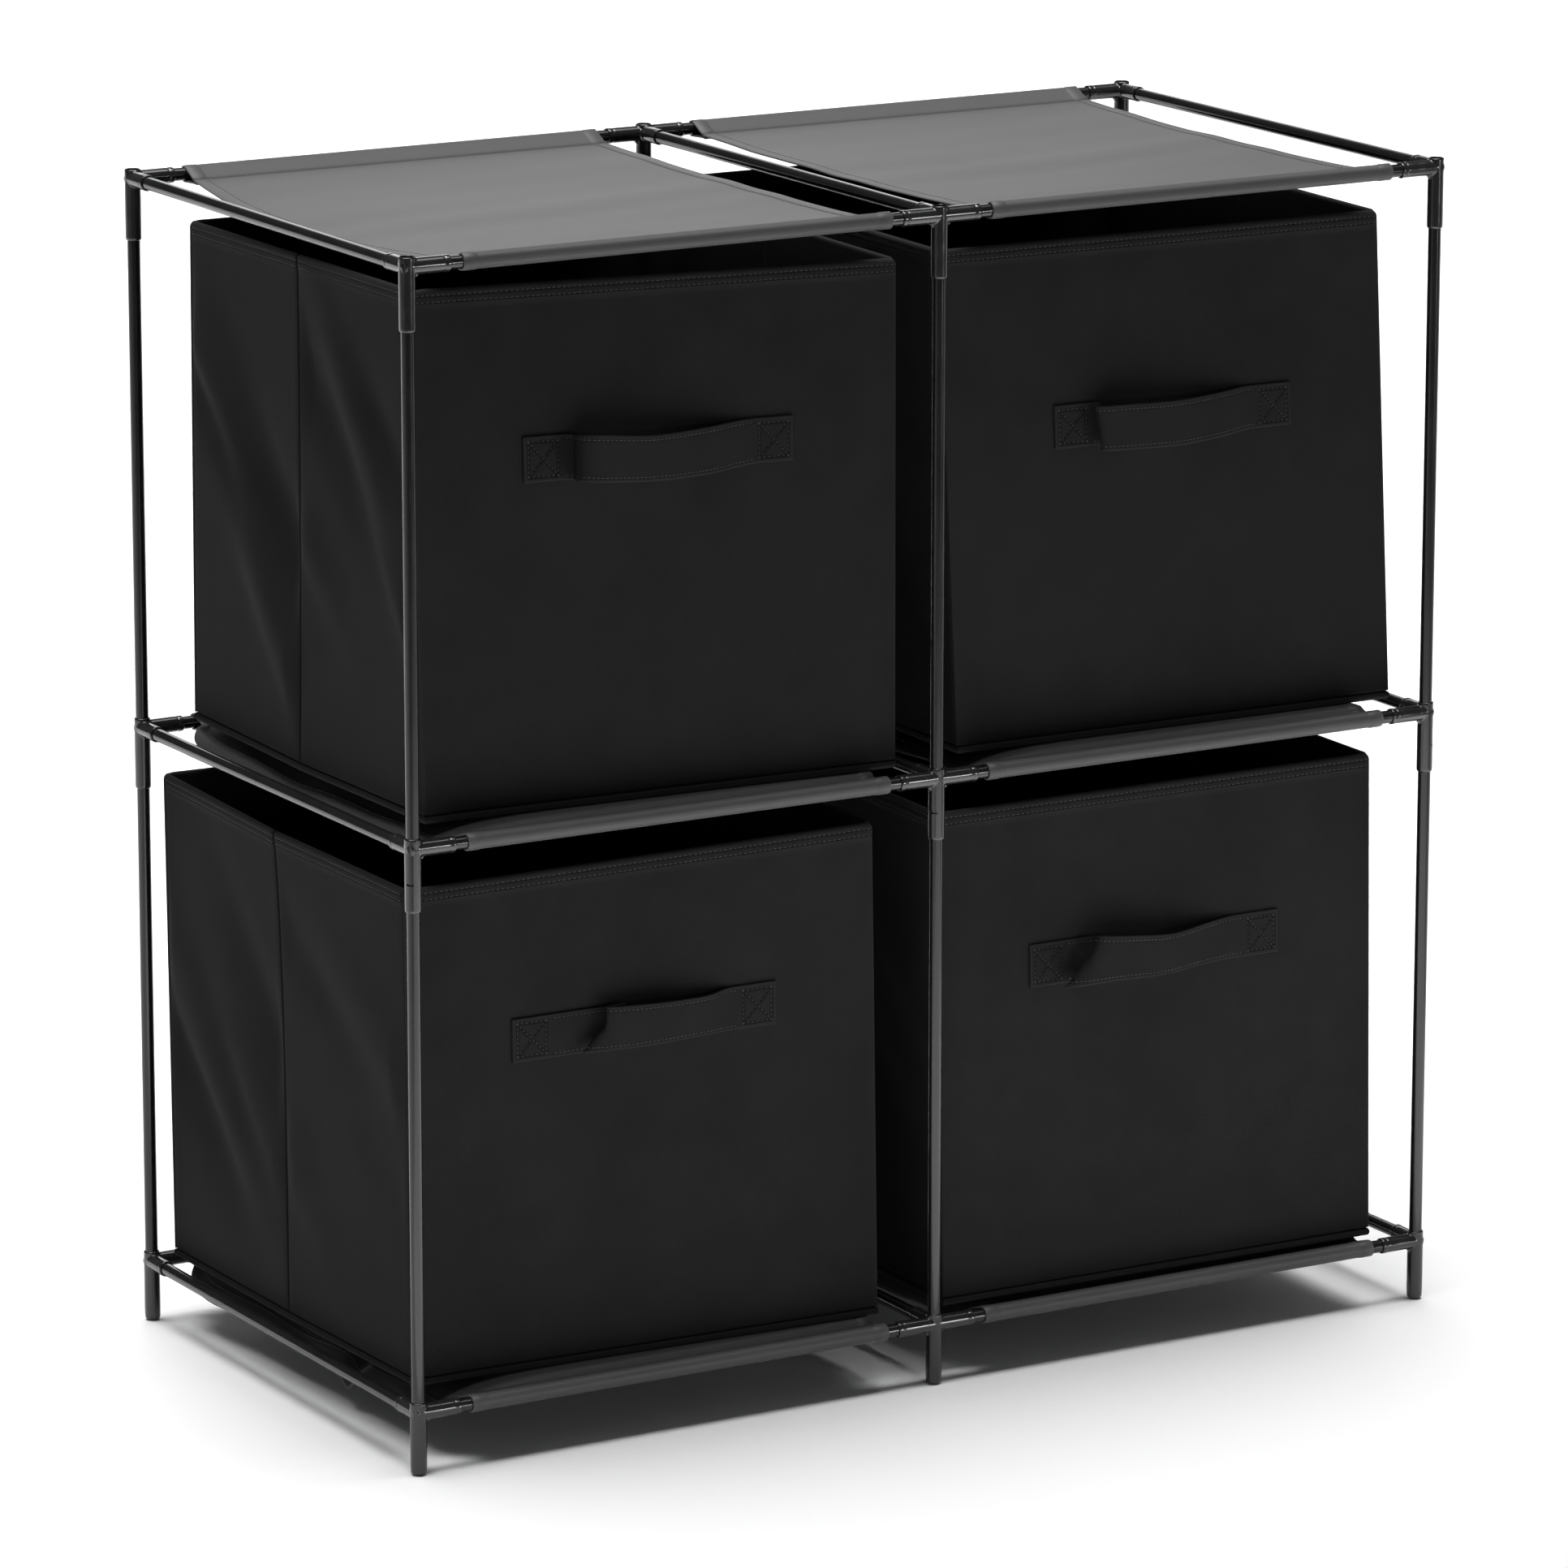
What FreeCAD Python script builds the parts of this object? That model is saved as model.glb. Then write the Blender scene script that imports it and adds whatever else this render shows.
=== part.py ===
"""Cube storage unit: a two by two tube frame with cloth shelves and four folding fabric bins.

The unit stands on the plane z = 0 with its origin under the middle of the frame.  +X points to
the right of someone who faces the bins, +Y points to the back and +Z points up.

Thin steel tubes push into plastic connectors.  Each cloth shelf is sewn into two long sleeves
that the front and back rails run through.  A bin is a set of stiffened cloth panels: its side
walls are split at a vertical fold, so the front wall can travel back to the rear wall.
"""

import FreeCAD, Part
import os
import re
import Sketcher

# Driving dimensions in millimetres.
SIZES = {
    # frame
    "column_pitch": 330.0,  # between neighbouring columns of uprights
    "row_pitch": 333.0,  # between the front rails and the back rails
    "level_pitch": 318.0,  # between one level of rails and the next
    "foot_drop": 35.5,  # lowest rails above the floor
    "tube_diameter": 7.4,
    "tube_wall": 0.6,
    # connectors
    "tube_fit": 0.1,  # radial clearance of a tube in its socket
    "sleeve_wall": 0.85,  # around an upright
    "arm_step": 0.1,  # how much thinner the wall around a rail is
    "side_reach": 25.0,  # crossing to the mouth of a socket along the width
    "depth_reach": 20.0,  # crossing to the mouth of a socket along the depth
    "sleeve_drop": 35.0,  # crossing to the lower end of a hanging sleeve
    "collar_proud": 1.5,  # collar around an upright above the side sleeves
    "cap_proud": 0.8,  # closed top of an upper connector above the side sleeves
    "socket_web": 2.2,  # plastic between an upright and the end of a rail
    "seat_drop": 10.0,  # how far an upright stands into the connector below the crossing
    "seat_web": 2.0,  # plastic between two uprights that meet in a connector
    "cap_web": 2.2,  # plastic over the upper end of an upright
    "end_play": 0.3,  # gap at the end of a tube
    "gusset_reach": 3.0,
    "gusset_width": 2.4,
    "lip_chamfer": 0.35,
    "taper_depth": 0.45,
    "taper_length": 4.0,
    "foot_round": 2.0,
    "cap_recess_diameter": 7.6,
    "cap_recess_depth": 1.2,
    "slot_width": 4.0,
    "slot_height": 1.4,
    "slot_drop": 17.0,  # crossing to the moulded slot in a hanging sleeve
    # cloth shelves
    "cloth_thickness": 0.8,
    "cloth_slack": 0.2,  # radial gap between a rail and its cloth sleeve
    "mouth_gap": 7.0,  # bare rail between a socket and the cloth
    # bins
    "bin_width": 290.0,
    "bin_depth": 292.0,
    "bin_height": 290.0,
    "wall_thickness": 3.0,  # a stiffening board between two layers of cloth
    "corner_round": 4.0,
    "floor_thickness": 1.0,
    "board_thickness": 3.0,
    "board_play": 1.0,  # side clearance of the loose base board
    "soft_gap": 0.3,  # clearance between cloth pieces that move past each other
    "fold_gap": 0.6,  # clearance between two panels at a sewn fold
    # how far each bin stands from the middle of its bay, to the right and to the back
    "upper_left_shift": 4.7,
    "upper_left_setback": 2.6,
    "upper_right_shift": 3.5,
    "upper_right_setback": 3.8,
    "lower_left_shift": -10.4,
    "lower_left_setback": 2.3,
    "lower_right_shift": -5.5,
    "lower_right_setback": -8.6,
    # strap handles
    "strap_length": 168.0,
    "strap_width": 25.0,
    "strap_thickness": 1.6,
    "strap_bow": 11.0,  # free span off the wall at its middle
    "upper_left_strap_height": 194,  # middle of each strap above the bottom of its bin
    "upper_right_strap_height": 184,
    "lower_left_strap_height": 198,
    "lower_right_strap_height": 195,
    "strap_patch": 24.0,  # sewn length at each end
}

# Sizes that several pieces share, worked out from the driving ones.
BORE = "(tube_diameter + 2 * tube_fit)"
SLEEVE = "(tube_diameter + 2 * tube_fit + 2 * sleeve_wall)"
ARM = f"({SLEEVE} - 2 * arm_step)"
COLLAR_RISE = f"({SLEEVE} / 2 + collar_proud)"
CAP_RISE = f"({SLEEVE} / 2 + cap_proud)"
RAIL_STOP = f"({BORE} / 2 + socket_web)"
CLOTH_BORE = "(tube_diameter + 2 * cloth_slack)"
CLOTH_SLEEVE = f"({CLOTH_BORE} + 2 * cloth_thickness)"
CLOTH_LENGTH = "(column_pitch - 2 * side_reach - 2 * mouth_gap)"
TRAY_HEIGHT = "(floor_thickness + board_thickness + soft_gap)"
WALL_FOOT = f"({TRAY_HEIGHT} + soft_gap)"
WALL_HEIGHT = f"(bin_height - {WALL_FOOT})"
HALF_SIDE = "((bin_depth - 2 * wall_thickness - 3 * fold_gap) / 2)"
BOARD_SIDE_GAP = "(wall_thickness + board_play)"
STRAP_HALF_SPAN = "(strap_length / 2 - strap_patch)"
STRAP_RADIUS = f"(({STRAP_HALF_SPAN}^2 + strap_bow^2) / (2 * strap_bow))"
STRAP_OUTER_HALF = (
    f"sqrt(({STRAP_RADIUS} + strap_thickness)^2"
    f" - ({STRAP_RADIUS} + strap_thickness - strap_bow)^2)"
)

COLUMNS = {"left": -1, "middle": 0, "right": 1}
ROWS = {"front": -1, "back": 1}
LEVELS = {"foot": 0, "middle": 1, "top": 2}
BAYS = {"left": -1, "right": 1}

doc = FreeCAD.newDocument("cube_storage_unit")
sheet = doc.addObject("Spreadsheet::Sheet", "sizes")
nodes = []


def fill_sheet():
    """Write every driving dimension to the sheet under its own name."""
    for row, (name, size) in enumerate(SIZES.items(), start=1):
        sheet.set(f"A{row}", name)
        sheet.set(f"B{row}", str(size))
        sheet.setAlias(f"B{row}", name)
    doc.recompute()


def bound(formula):
    """Turn a formula of size names into an expression on the sheet."""
    return re.sub(r"[a-z_]+", lambda word: f"sizes.{word[0]}" if word[0] in SIZES else word[0], formula)


def value(formula):
    """The present value of a formula."""
    return float(sheet.evalExpression(bound(formula)))


def bind(thing, prop, formula):
    """Drive one property of an object by a formula."""
    thing.setExpression(prop, bound(formula))


def place(thing, x, y, z, axis=(0, 0, 1), turn=0):
    """Turn an object about its own origin and put that origin at three formulas."""
    thing.Placement = FreeCAD.Placement(FreeCAD.Vector(), FreeCAD.Rotation(FreeCAD.Vector(*axis), turn))
    for name, formula in zip("xyz", (x, y, z)):
        bind(thing, f"Placement.Base.{name}", formula)


def keep(thing):
    """Count an object as a sub-part of its own."""
    nodes.append(thing)
    return thing


def new_body(label):
    """An empty body with its own label."""
    body = doc.addObject("PartDesign::Body", label)
    body.Label = label
    return body


def sketch_on(body, role, offset="0"):
    """A sketch on one of the body's origin planes, moved along the plane's normal."""
    plane = next(feature for feature in body.Origin.OriginFeatures if feature.Role == role)
    sketch = body.newObject("Sketcher::SketchObject", f"{body.Name}_sketch")
    sketch.AttachmentSupport = [(plane, "")]
    sketch.MapMode = "FlatFace"
    bind(sketch, "AttachmentOffset.Base.z", offset)
    return sketch


def hold_point(sketch, geometry, end, x, y):
    """Tie one point of a sketch to two formulas, measured from the sketch's origin."""
    for kind, formula in (("DistanceX", x), ("DistanceY", y)):
        index = sketch.addConstraint(Sketcher.Constraint(kind, -1, 1, geometry, end, value(formula)))
        sketch.setExpression(f"Constraints[{index}]", bound(formula))


def circle(sketch, diameter, x="0", y="0"):
    """A circle of a given diameter about a given centre."""
    centre = FreeCAD.Vector(value(x), value(y), 0)
    shape = Part.Circle(centre, FreeCAD.Vector(0, 0, 1), value(diameter) / 2)
    geometry = sketch.addGeometry(shape, False)
    hold_point(sketch, geometry, 3, x, y)
    index = sketch.addConstraint(Sketcher.Constraint("Diameter", geometry, value(diameter)))
    sketch.setExpression(f"Constraints[{index}]", bound(diameter))


def outline(sketch, corners):
    """A closed outline through corners given as pairs of formulas."""
    points = [FreeCAD.Vector(value(x), value(y), 0) for x, y in corners]
    following = points[1:] + points[:1]
    sides = [sketch.addGeometry(Part.LineSegment(a, b), False) for a, b in zip(points, following)]
    for side, after in zip(sides, sides[1:] + sides[:1]):
        sketch.addConstraint(Sketcher.Constraint("Coincident", side, 2, after, 1))
    for side, (x, y) in zip(sides, corners):
        hold_point(sketch, side, 1, x, y)


def rectangle(sketch, width, depth, x="0", y="0"):
    """A rectangle about a given centre."""
    left, right = f"{x} - {width} / 2", f"{x} + {width} / 2"
    low, high = f"{y} - {depth} / 2", f"{y} + {depth} / 2"
    outline(sketch, [(left, low), (right, low), (right, high), (left, high)])


def pad(body, sketch, length, middle=False, reverse=False):
    """Thicken a sketch along its normal, both ways about it, or against it."""
    feature = body.newObject("PartDesign::Pad", f"{body.Name}_pad")
    feature.Profile = sketch
    feature.SideType = "Symmetric" if middle else "One side"
    feature.Reversed = reverse
    bind(feature, "Length", length)
    return feature


def pocket(body, sketch, length, along_normal):
    """Cut a sketch out of the body, along its normal or against it."""
    feature = body.newObject("PartDesign::Pocket", f"{body.Name}_pocket")
    feature.Profile = sketch
    feature.Reversed = along_normal
    bind(feature, "Length", length)
    return feature


def edges_where(shape, wanted):
    """The names of the edges that pass a test."""
    return [f"Edge{n}" for n, edge in enumerate(shape.Edges, start=1) if wanted(edge)]


def rim_at(edge, axis, place_on_axis, diameter):
    """Whether an edge is a full circle of one diameter at one place along an axis."""
    round_edge = isinstance(edge.Curve, Part.Circle) and edge.isClosed()
    return (
        round_edge
        and abs(edge.Curve.Radius - diameter / 2) < 1e-4
        and abs(getattr(edge.Curve.Center, axis) - place_on_axis) < 1e-4
        and abs(getattr(edge.Curve.Axis, axis)) > 0.999
    )


def dress(body, kind, edges, sizes):
    """A chamfer or a fillet on chosen edges of the body's tip."""
    before = body.Tip
    feature = body.newObject(kind, f"{body.Name}_dress")
    feature.Base = (before, edges)
    if "Size2" in sizes:
        feature.ChamferType = "Two distances"
    for prop, formula in sizes.items():
        bind(feature, prop, formula)
    doc.recompute()
    return feature


def level_height(level):
    """The height of the rails of a level."""
    return f"foot_drop + {level} * level_pitch"


def connector(label, level, column, row):
    """A push-fit connector with its crossing at its own origin."""
    body = new_body(label)
    drop = "foot_drop" if level == LEVELS["foot"] else "sleeve_drop"
    rise = CAP_RISE if level == LEVELS["top"] else COLLAR_RISE
    trunk = sketch_on(body, "XY_Plane", f"-{drop}")
    circle(trunk, SLEEVE)
    pad(body, trunk, f"{drop} + {rise}")
    side_arms = [side for side in (-1, 1) if side != column]
    for side in side_arms:
        arm = sketch_on(body, "YZ_Plane")
        circle(arm, ARM)
        pad(body, arm, "side_reach", reverse=side < 0)
        gusset(body, side)
    inward = sketch_on(body, "XZ_Plane")
    circle(inward, ARM)
    pad(body, inward, "depth_reach", reverse=row < 0)
    doc.recompute()
    finish_rims(body, level, side_arms, row, drop, rise)
    for side in side_arms:
        socket = sketch_on(body, "YZ_Plane", f"{side} * {RAIL_STOP}")
        circle(socket, BORE)
        pocket(body, socket, "side_reach", along_normal=side > 0)
    socket = sketch_on(body, "XZ_Plane", f"{row} * {RAIL_STOP}")
    circle(socket, BORE)
    pocket(body, socket, "depth_reach", along_normal=row > 0)
    upright_sockets(body, level)
    place(body, f"{column} * column_pitch", f"{row} * row_pitch / 2", level_height(level))
    return body


def gusset(body, side):
    """A thin web in the corner between an arm and the hanging sleeve."""
    web = sketch_on(body, "XZ_Plane")
    near, far = f"{side} * {SLEEVE} / 4", f"{side} * ({SLEEVE} / 2 + gusset_reach)"
    top, low = f"-{SLEEVE} / 4", f"-{SLEEVE} / 2 - gusset_reach"
    waist = (f"{side} * {SLEEVE} / 2", low)
    outline(web, [(near, top), (far, top), (far, f"-{SLEEVE} / 2"), waist, (near, low)])
    pad(body, web, "gusset_width", middle=True)


def finish_rims(body, level, side_arms, row, drop, rise):
    """Break the outer rims of the mouths and shape the lower end."""
    size, arm = value(SLEEVE), value(ARM)
    lips = [("x", side * value("side_reach"), arm) for side in side_arms]
    lips += [("y", -row * value("depth_reach"), arm), ("z", value(rise), size)]
    rims = edges_where(body.Tip.Shape, lambda edge: any(rim_at(edge, *lip) for lip in lips))
    dress(body, "PartDesign::Chamfer", rims, {"Size": "lip_chamfer"})
    lower = edges_where(body.Tip.Shape, lambda edge: rim_at(edge, "z", -value(drop), size))
    if level == LEVELS["foot"]:
        dress(body, "PartDesign::Fillet", lower, {"Radius": "foot_round"})
    else:
        dress(body, "PartDesign::Chamfer", lower, {"Size": "taper_depth", "Size2": "taper_length"})


def upright_sockets(body, level):
    """Bore the sockets that hold the uprights, and the small moulded marks."""
    if level != LEVELS["foot"]:
        top = f"{CAP_RISE} - cap_web" if level == LEVELS["top"] else "-seat_drop - seat_web"
        lower = sketch_on(body, "XY_Plane", "-sleeve_drop")
        circle(lower, BORE)
        pocket(body, lower, f"sleeve_drop + {top}", along_normal=True)
    if level == LEVELS["top"]:
        recess = sketch_on(body, "XY_Plane", CAP_RISE)
        circle(recess, "cap_recess_diameter")
        pocket(body, recess, "cap_recess_depth", along_normal=False)
    else:
        upper = sketch_on(body, "XY_Plane", COLLAR_RISE)
        circle(upper, BORE)
        pocket(body, upper, f"{COLLAR_RISE} + seat_drop", along_normal=False)
    if level == LEVELS["middle"]:
        slot = sketch_on(body, "XZ_Plane")
        rectangle(slot, "slot_width", "slot_height", y="-slot_drop")
        pocket(body, slot, f"{SLEEVE}", along_normal=body.Label.count("front") > 0)


def tube(label, length, x, y, z, axis=(0, 0, 1), turn=0):
    """A length of steel tube that starts at three formulas and runs along its turned axis."""
    outer = doc.addObject("Part::Cylinder", f"{label}_outside")
    bind(outer, "Radius", "tube_diameter / 2")
    inner = doc.addObject("Part::Cylinder", f"{label}_inside")
    bind(inner, "Radius", "tube_diameter / 2 - tube_wall")
    for cylinder in (outer, inner):
        bind(cylinder, "Height", length)
    hollow = doc.addObject("Part::Cut", label)
    hollow.Base = outer
    hollow.Tool = inner
    place(hollow, x, y, z, axis, turn)
    return hollow


def group(label, pieces):
    """Several equal pieces that share one node."""
    together = doc.addObject("Part::Compound", label)
    together.Label = label
    together.Links = pieces
    return keep(together)


def build_connectors():
    """Three columns of connectors at each level, front and back."""
    for level_name, level in LEVELS.items():
        for row_name, row in ROWS.items():
            stem = f"{level_name}_connector_{row_name}"
            pieces = [connector(f"{stem}_{name}", level, column, row) for name, column in COLUMNS.items()]
            group(f"{level_name}_connectors_{row_name}", pieces)


def build_uprights():
    """Lower and upper uprights in each row."""
    seat = "seat_drop - end_play"
    joints = "seat_drop + seat_web + end_play"
    lower = (f"{level_height(0)} - ({seat})", f"level_pitch + {seat} - ({joints})")
    head = f"{CAP_RISE} - cap_web - end_play"
    upper = (f"{level_height(1)} - ({seat})", f"level_pitch + {seat} + {head}")
    for span_name, (start, length) in {"lower": lower, "upper": upper}.items():
        for row_name, row in ROWS.items():
            stem = f"{span_name}_upright_{row_name}"
            y = f"{row} * row_pitch / 2"
            pieces = [
                tube(f"{stem}_{name}", length, f"{column} * column_pitch", y, start)
                for name, column in COLUMNS.items()
            ]
            group(f"{span_name}_uprights_{row_name}", pieces)


def build_rails():
    """Rails along the width, then rails along the depth, level by level."""
    stop = f"({RAIL_STOP} + end_play)"
    for level_name, level in (("bottom", 0), ("middle", 1), ("top", 2)):
        rails = [
            tube(
                f"{level_name}_rail_{row_name}_{bay_name}",
                f"column_pitch - 2 * {stop}",
                f"{min(bay, 0)} * column_pitch + {stop}",
                f"{row} * row_pitch / 2",
                level_height(level),
                (0, 1, 0),
                90,
            )
            for row_name, row in ROWS.items()
            for bay_name, bay in BAYS.items()
        ]
        group(f"{level_name}_rails", rails)
        crossrails = [
            tube(
                f"{level_name}_crossrail_{name}",
                f"row_pitch - 2 * {stop}",
                f"{column} * column_pitch",
                f"-row_pitch / 2 + {stop}",
                level_height(level),
                (1, 0, 0),
                -90,
            )
            for name, column in COLUMNS.items()
        ]
        group(f"{level_name}_crossrails", crossrails)


def build_shelves():
    """One cloth shelf in each bay of each level, with a sleeve around either rail.

    The loaded shelves run over the rails and the bare top ones hang below them.
    """
    for level_name, level in (("bottom", 0), ("middle", 1), ("top", 2)):
        for bay_name, bay in BAYS.items():
            body = new_body(f"{level_name}_shelf_{bay_name}")
            sleeves = sketch_on(body, "YZ_Plane")
            for row in ROWS.values():
                circle(sleeves, CLOTH_SLEEVE, x=f"{row} * row_pitch / 2")
                circle(sleeves, CLOTH_BORE, x=f"{row} * row_pitch / 2")
            pad(body, sleeves, CLOTH_LENGTH, middle=True)
            underside = f"-{CLOTH_SLEEVE} / 2" if level == LEVELS["top"] else f"{CLOTH_BORE} / 2"
            sheet_plan = sketch_on(body, "XY_Plane", underside)
            rectangle(sheet_plan, CLOTH_LENGTH, "row_pitch")
            pad(body, sheet_plan, "cloth_thickness")
            place(body, f"{bay} * column_pitch / 2", "0", level_height(level))
            keep(body)


def panel(label, width, height, x, y, z, turn=0):
    """An upright stiffened panel with rounded upper corners, centred on its own origin."""
    body = new_body(label)
    face = sketch_on(body, "XZ_Plane")
    rectangle(face, width, height, y=f"{height} / 2")
    pad(body, face, "wall_thickness", middle=True)
    doc.recompute()
    top = value(height)
    edges = edges_where(
        body.Tip.Shape,
        lambda edge: edge.BoundBox.XLength < 1e-6 and edge.BoundBox.ZMin > top - 1e-4,
    )
    dress(body, "PartDesign::Fillet", edges, {"Radius": "corner_round"})
    place(body, x, y, z, turn=turn)
    return keep(body)


def floor_tray(label, x, y, z):
    """The cloth floor with the low welt that the walls stand on, hollow for the base board."""
    body = new_body(label)
    plan = sketch_on(body, "XY_Plane")
    rectangle(plan, "bin_width", "bin_depth")
    pad(body, plan, TRAY_HEIGHT)
    doc.recompute()
    hollow = sketch_on(body, "XY_Plane", TRAY_HEIGHT)
    across = f"(bin_width - 2 * {BOARD_SIDE_GAP} + 2 * soft_gap)"
    along = f"(bin_depth - 2 * {BOARD_SIDE_GAP} + 2 * soft_gap)"
    rectangle(hollow, across, along)
    pocket(body, hollow, f"{TRAY_HEIGHT} - floor_thickness", along_normal=False)
    place(body, x, y, z)
    return keep(body)


def base_board(label, x, y, z):
    """The loose board that stiffens the floor."""
    board = doc.addObject("Part::Box", label)
    board.Label = label
    bind(board, "Length", f"bin_width - 2 * {BOARD_SIDE_GAP}")
    bind(board, "Width", f"bin_depth - 2 * {BOARD_SIDE_GAP}")
    bind(board, "Height", "board_thickness")
    place(
        board,
        f"{x} - bin_width / 2 + {BOARD_SIDE_GAP}",
        f"{y} - bin_depth / 2 + {BOARD_SIDE_GAP}",
        f"{z} + floor_thickness",
    )
    return keep(board)


def strap(label, x, y, z):
    """A webbing handle: two sewn patches on the wall and a bowed free span between them."""
    body = new_body(label)
    side = sketch_on(body, "XY_Plane")
    end, foot, proud = "strap_length / 2", STRAP_HALF_SPAN, "-strap_thickness"
    shoulder = STRAP_OUTER_HALF
    chains = [
        [(f"-{end}", proud), (f"-{end}", "0"), (f"-{foot}", "0")],
        [(foot, "0"), (end, "0"), (end, proud), (shoulder, proud)],
        [(f"-{shoulder}", proud), (f"-{end}", proud)],
    ]
    for chain in chains:
        for start, stop in zip(chain, chain[1:]):
            a = FreeCAD.Vector(value(start[0]), value(start[1]), 0)
            b = FreeCAD.Vector(value(stop[0]), value(stop[1]), 0)
            line = side.addGeometry(Part.LineSegment(a, b), False)
            hold_point(side, line, 1, *start)
            hold_point(side, line, 2, *stop)
    for reach, level, crown in (
        (foot, "0", "-strap_bow"),
        (shoulder, proud, "-strap_bow - strap_thickness"),
    ):
        left = FreeCAD.Vector(-value(reach), value(level), 0)
        peak = FreeCAD.Vector(0, value(crown), 0)
        right = FreeCAD.Vector(value(reach), value(level), 0)
        arc = side.addGeometry(Part.Arc(left, peak, right), False)
        hold_point(side, arc, 1, f"-{reach}", level)
        hold_point(side, arc, 2, reach, level)
        radius = STRAP_RADIUS if level == "0" else f"{STRAP_RADIUS} + strap_thickness"
        index = side.addConstraint(Sketcher.Constraint("Radius", arc, value(radius)))
        side.setExpression(f"Constraints[{index}]", bound(radius))
    pad(body, side, "strap_width", middle=True)
    place(body, x, y, z)
    return keep(body)


def build_bin(level_name, bay_name):
    """One folding bin, standing just clear of the shelf below it."""
    name = f"{level_name}_{bay_name}"
    level = {"lower": 0, "upper": 1}[level_name]
    x = f"({BAYS[bay_name]} * column_pitch / 2 + {name}_shift)"
    y = f"({name}_setback)"
    z = f"({level_height(level)} + {CLOTH_SLEEVE} / 2 + soft_gap)"
    wall_foot = f"{z} + {WALL_FOOT}"
    floor_tray(f"{name}_bin_floor", x, y, z)
    base_board(f"{name}_bin_base_board", x, y, z)
    for wall_name, side in ROWS.items():
        wall_y = f"{y} + {side} * (bin_depth - wall_thickness) / 2"
        panel(f"{name}_bin_{wall_name}_panel", "bin_width", WALL_HEIGHT, x, wall_y, wall_foot)
    for half_name, half in (("front", -1), ("rear", 1)):
        for side_name, side in (("left", -1), ("right", 1)):
            panel(
                f"{name}_bin_{half_name}_{side_name}_panel",
                HALF_SIDE,
                WALL_HEIGHT,
                f"{x} + {side} * (bin_width - wall_thickness) / 2",
                f"{y} + {half} * ({HALF_SIDE} + fold_gap) / 2",
                wall_foot,
                turn=90,
            )
    strap(f"{name}_bin_handle", x, f"{y} - bin_depth / 2", f"{z} + {name}_strap_height")


def check_document():
    """Stop if any object failed or any sub-part has no sound shape."""
    for thing in doc.Objects:
        if {"Invalid", "Error"} & set(thing.State):
            raise RuntimeError(f"{thing.Label} did not compute: {thing.State}")
        if thing.TypeId == "PartDesign::Pocket" and thing.Shape.Volume >= thing.BaseFeature.Shape.Volume:
            raise RuntimeError(f"{thing.Label} cuts nothing")
    for node in nodes:
        if node.Shape.isNull() or not node.Shape.isValid():
            raise RuntimeError(f"{node.Label} has no valid shape")


def write_parts():
    """Write each sub-part to a file of its own."""
    os.makedirs("parts", exist_ok=True)
    for node in nodes:
        node.Shape.exportStep(f"parts/{node.Label}.step")


fill_sheet()
build_connectors()
build_uprights()
build_rails()
build_shelves()
for bin_level in ("lower", "upper"):
    for bin_bay in BAYS:
        build_bin(bin_level, bin_bay)
doc.recompute()
check_document()
write_parts()
print(f"{len(nodes)} nodes written")
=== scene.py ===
"""Looks of a cube storage unit: thin tube frame, stretched cloth shelves, four folding cloth bins."""

import logging
import math
from dataclasses import dataclass, field
from enum import Enum

import bmesh
import bpy
import numpy as np
from mathutils import Matrix, Vector


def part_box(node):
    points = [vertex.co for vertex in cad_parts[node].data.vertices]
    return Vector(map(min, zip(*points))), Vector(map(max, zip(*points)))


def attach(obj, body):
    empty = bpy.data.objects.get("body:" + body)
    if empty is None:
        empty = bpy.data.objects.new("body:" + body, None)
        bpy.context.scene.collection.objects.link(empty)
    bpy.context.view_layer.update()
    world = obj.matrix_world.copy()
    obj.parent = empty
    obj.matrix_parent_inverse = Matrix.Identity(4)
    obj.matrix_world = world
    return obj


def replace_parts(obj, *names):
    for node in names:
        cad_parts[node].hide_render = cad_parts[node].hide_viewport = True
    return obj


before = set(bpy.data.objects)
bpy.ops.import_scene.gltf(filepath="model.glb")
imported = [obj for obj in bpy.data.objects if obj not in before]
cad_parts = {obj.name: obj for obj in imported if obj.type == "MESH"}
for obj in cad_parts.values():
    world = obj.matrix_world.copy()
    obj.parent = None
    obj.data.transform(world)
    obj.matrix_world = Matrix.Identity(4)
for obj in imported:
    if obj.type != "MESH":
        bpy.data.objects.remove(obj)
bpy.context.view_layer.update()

MM = 0.001
MIX_FACTOR, MIX_FIRST, MIX_SECOND, MIX_COLOUR = 0, 6, 7, 2  # sockets of a Mix node set to colours
UP = Vector((0, 0, 1))
log = logging.getLogger("cube_storage_unit")


# ---------------------------------------------------------------- nodes and shader maths


def add_node(
    tree: bpy.types.NodeTree, kind: str, settings: dict[str, object], inputs: dict[object, object]
) -> bpy.types.Node:
    """Add a node to a tree.

    Args:
        tree: the tree.
        kind: the node's type.
        settings: its properties, set before its sockets.
        inputs: socket name or index to a value or to another node's output.

    Returns:
        The node.
    """
    made = tree.nodes.new(kind)
    for name, setting in settings.items():
        setattr(made, name, setting)
    for name, given in inputs.items():
        if isinstance(given, bpy.types.NodeSocket):
            tree.links.new(given, made.inputs[name])
        else:
            made.inputs[name].default_value = given
    return made


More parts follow.
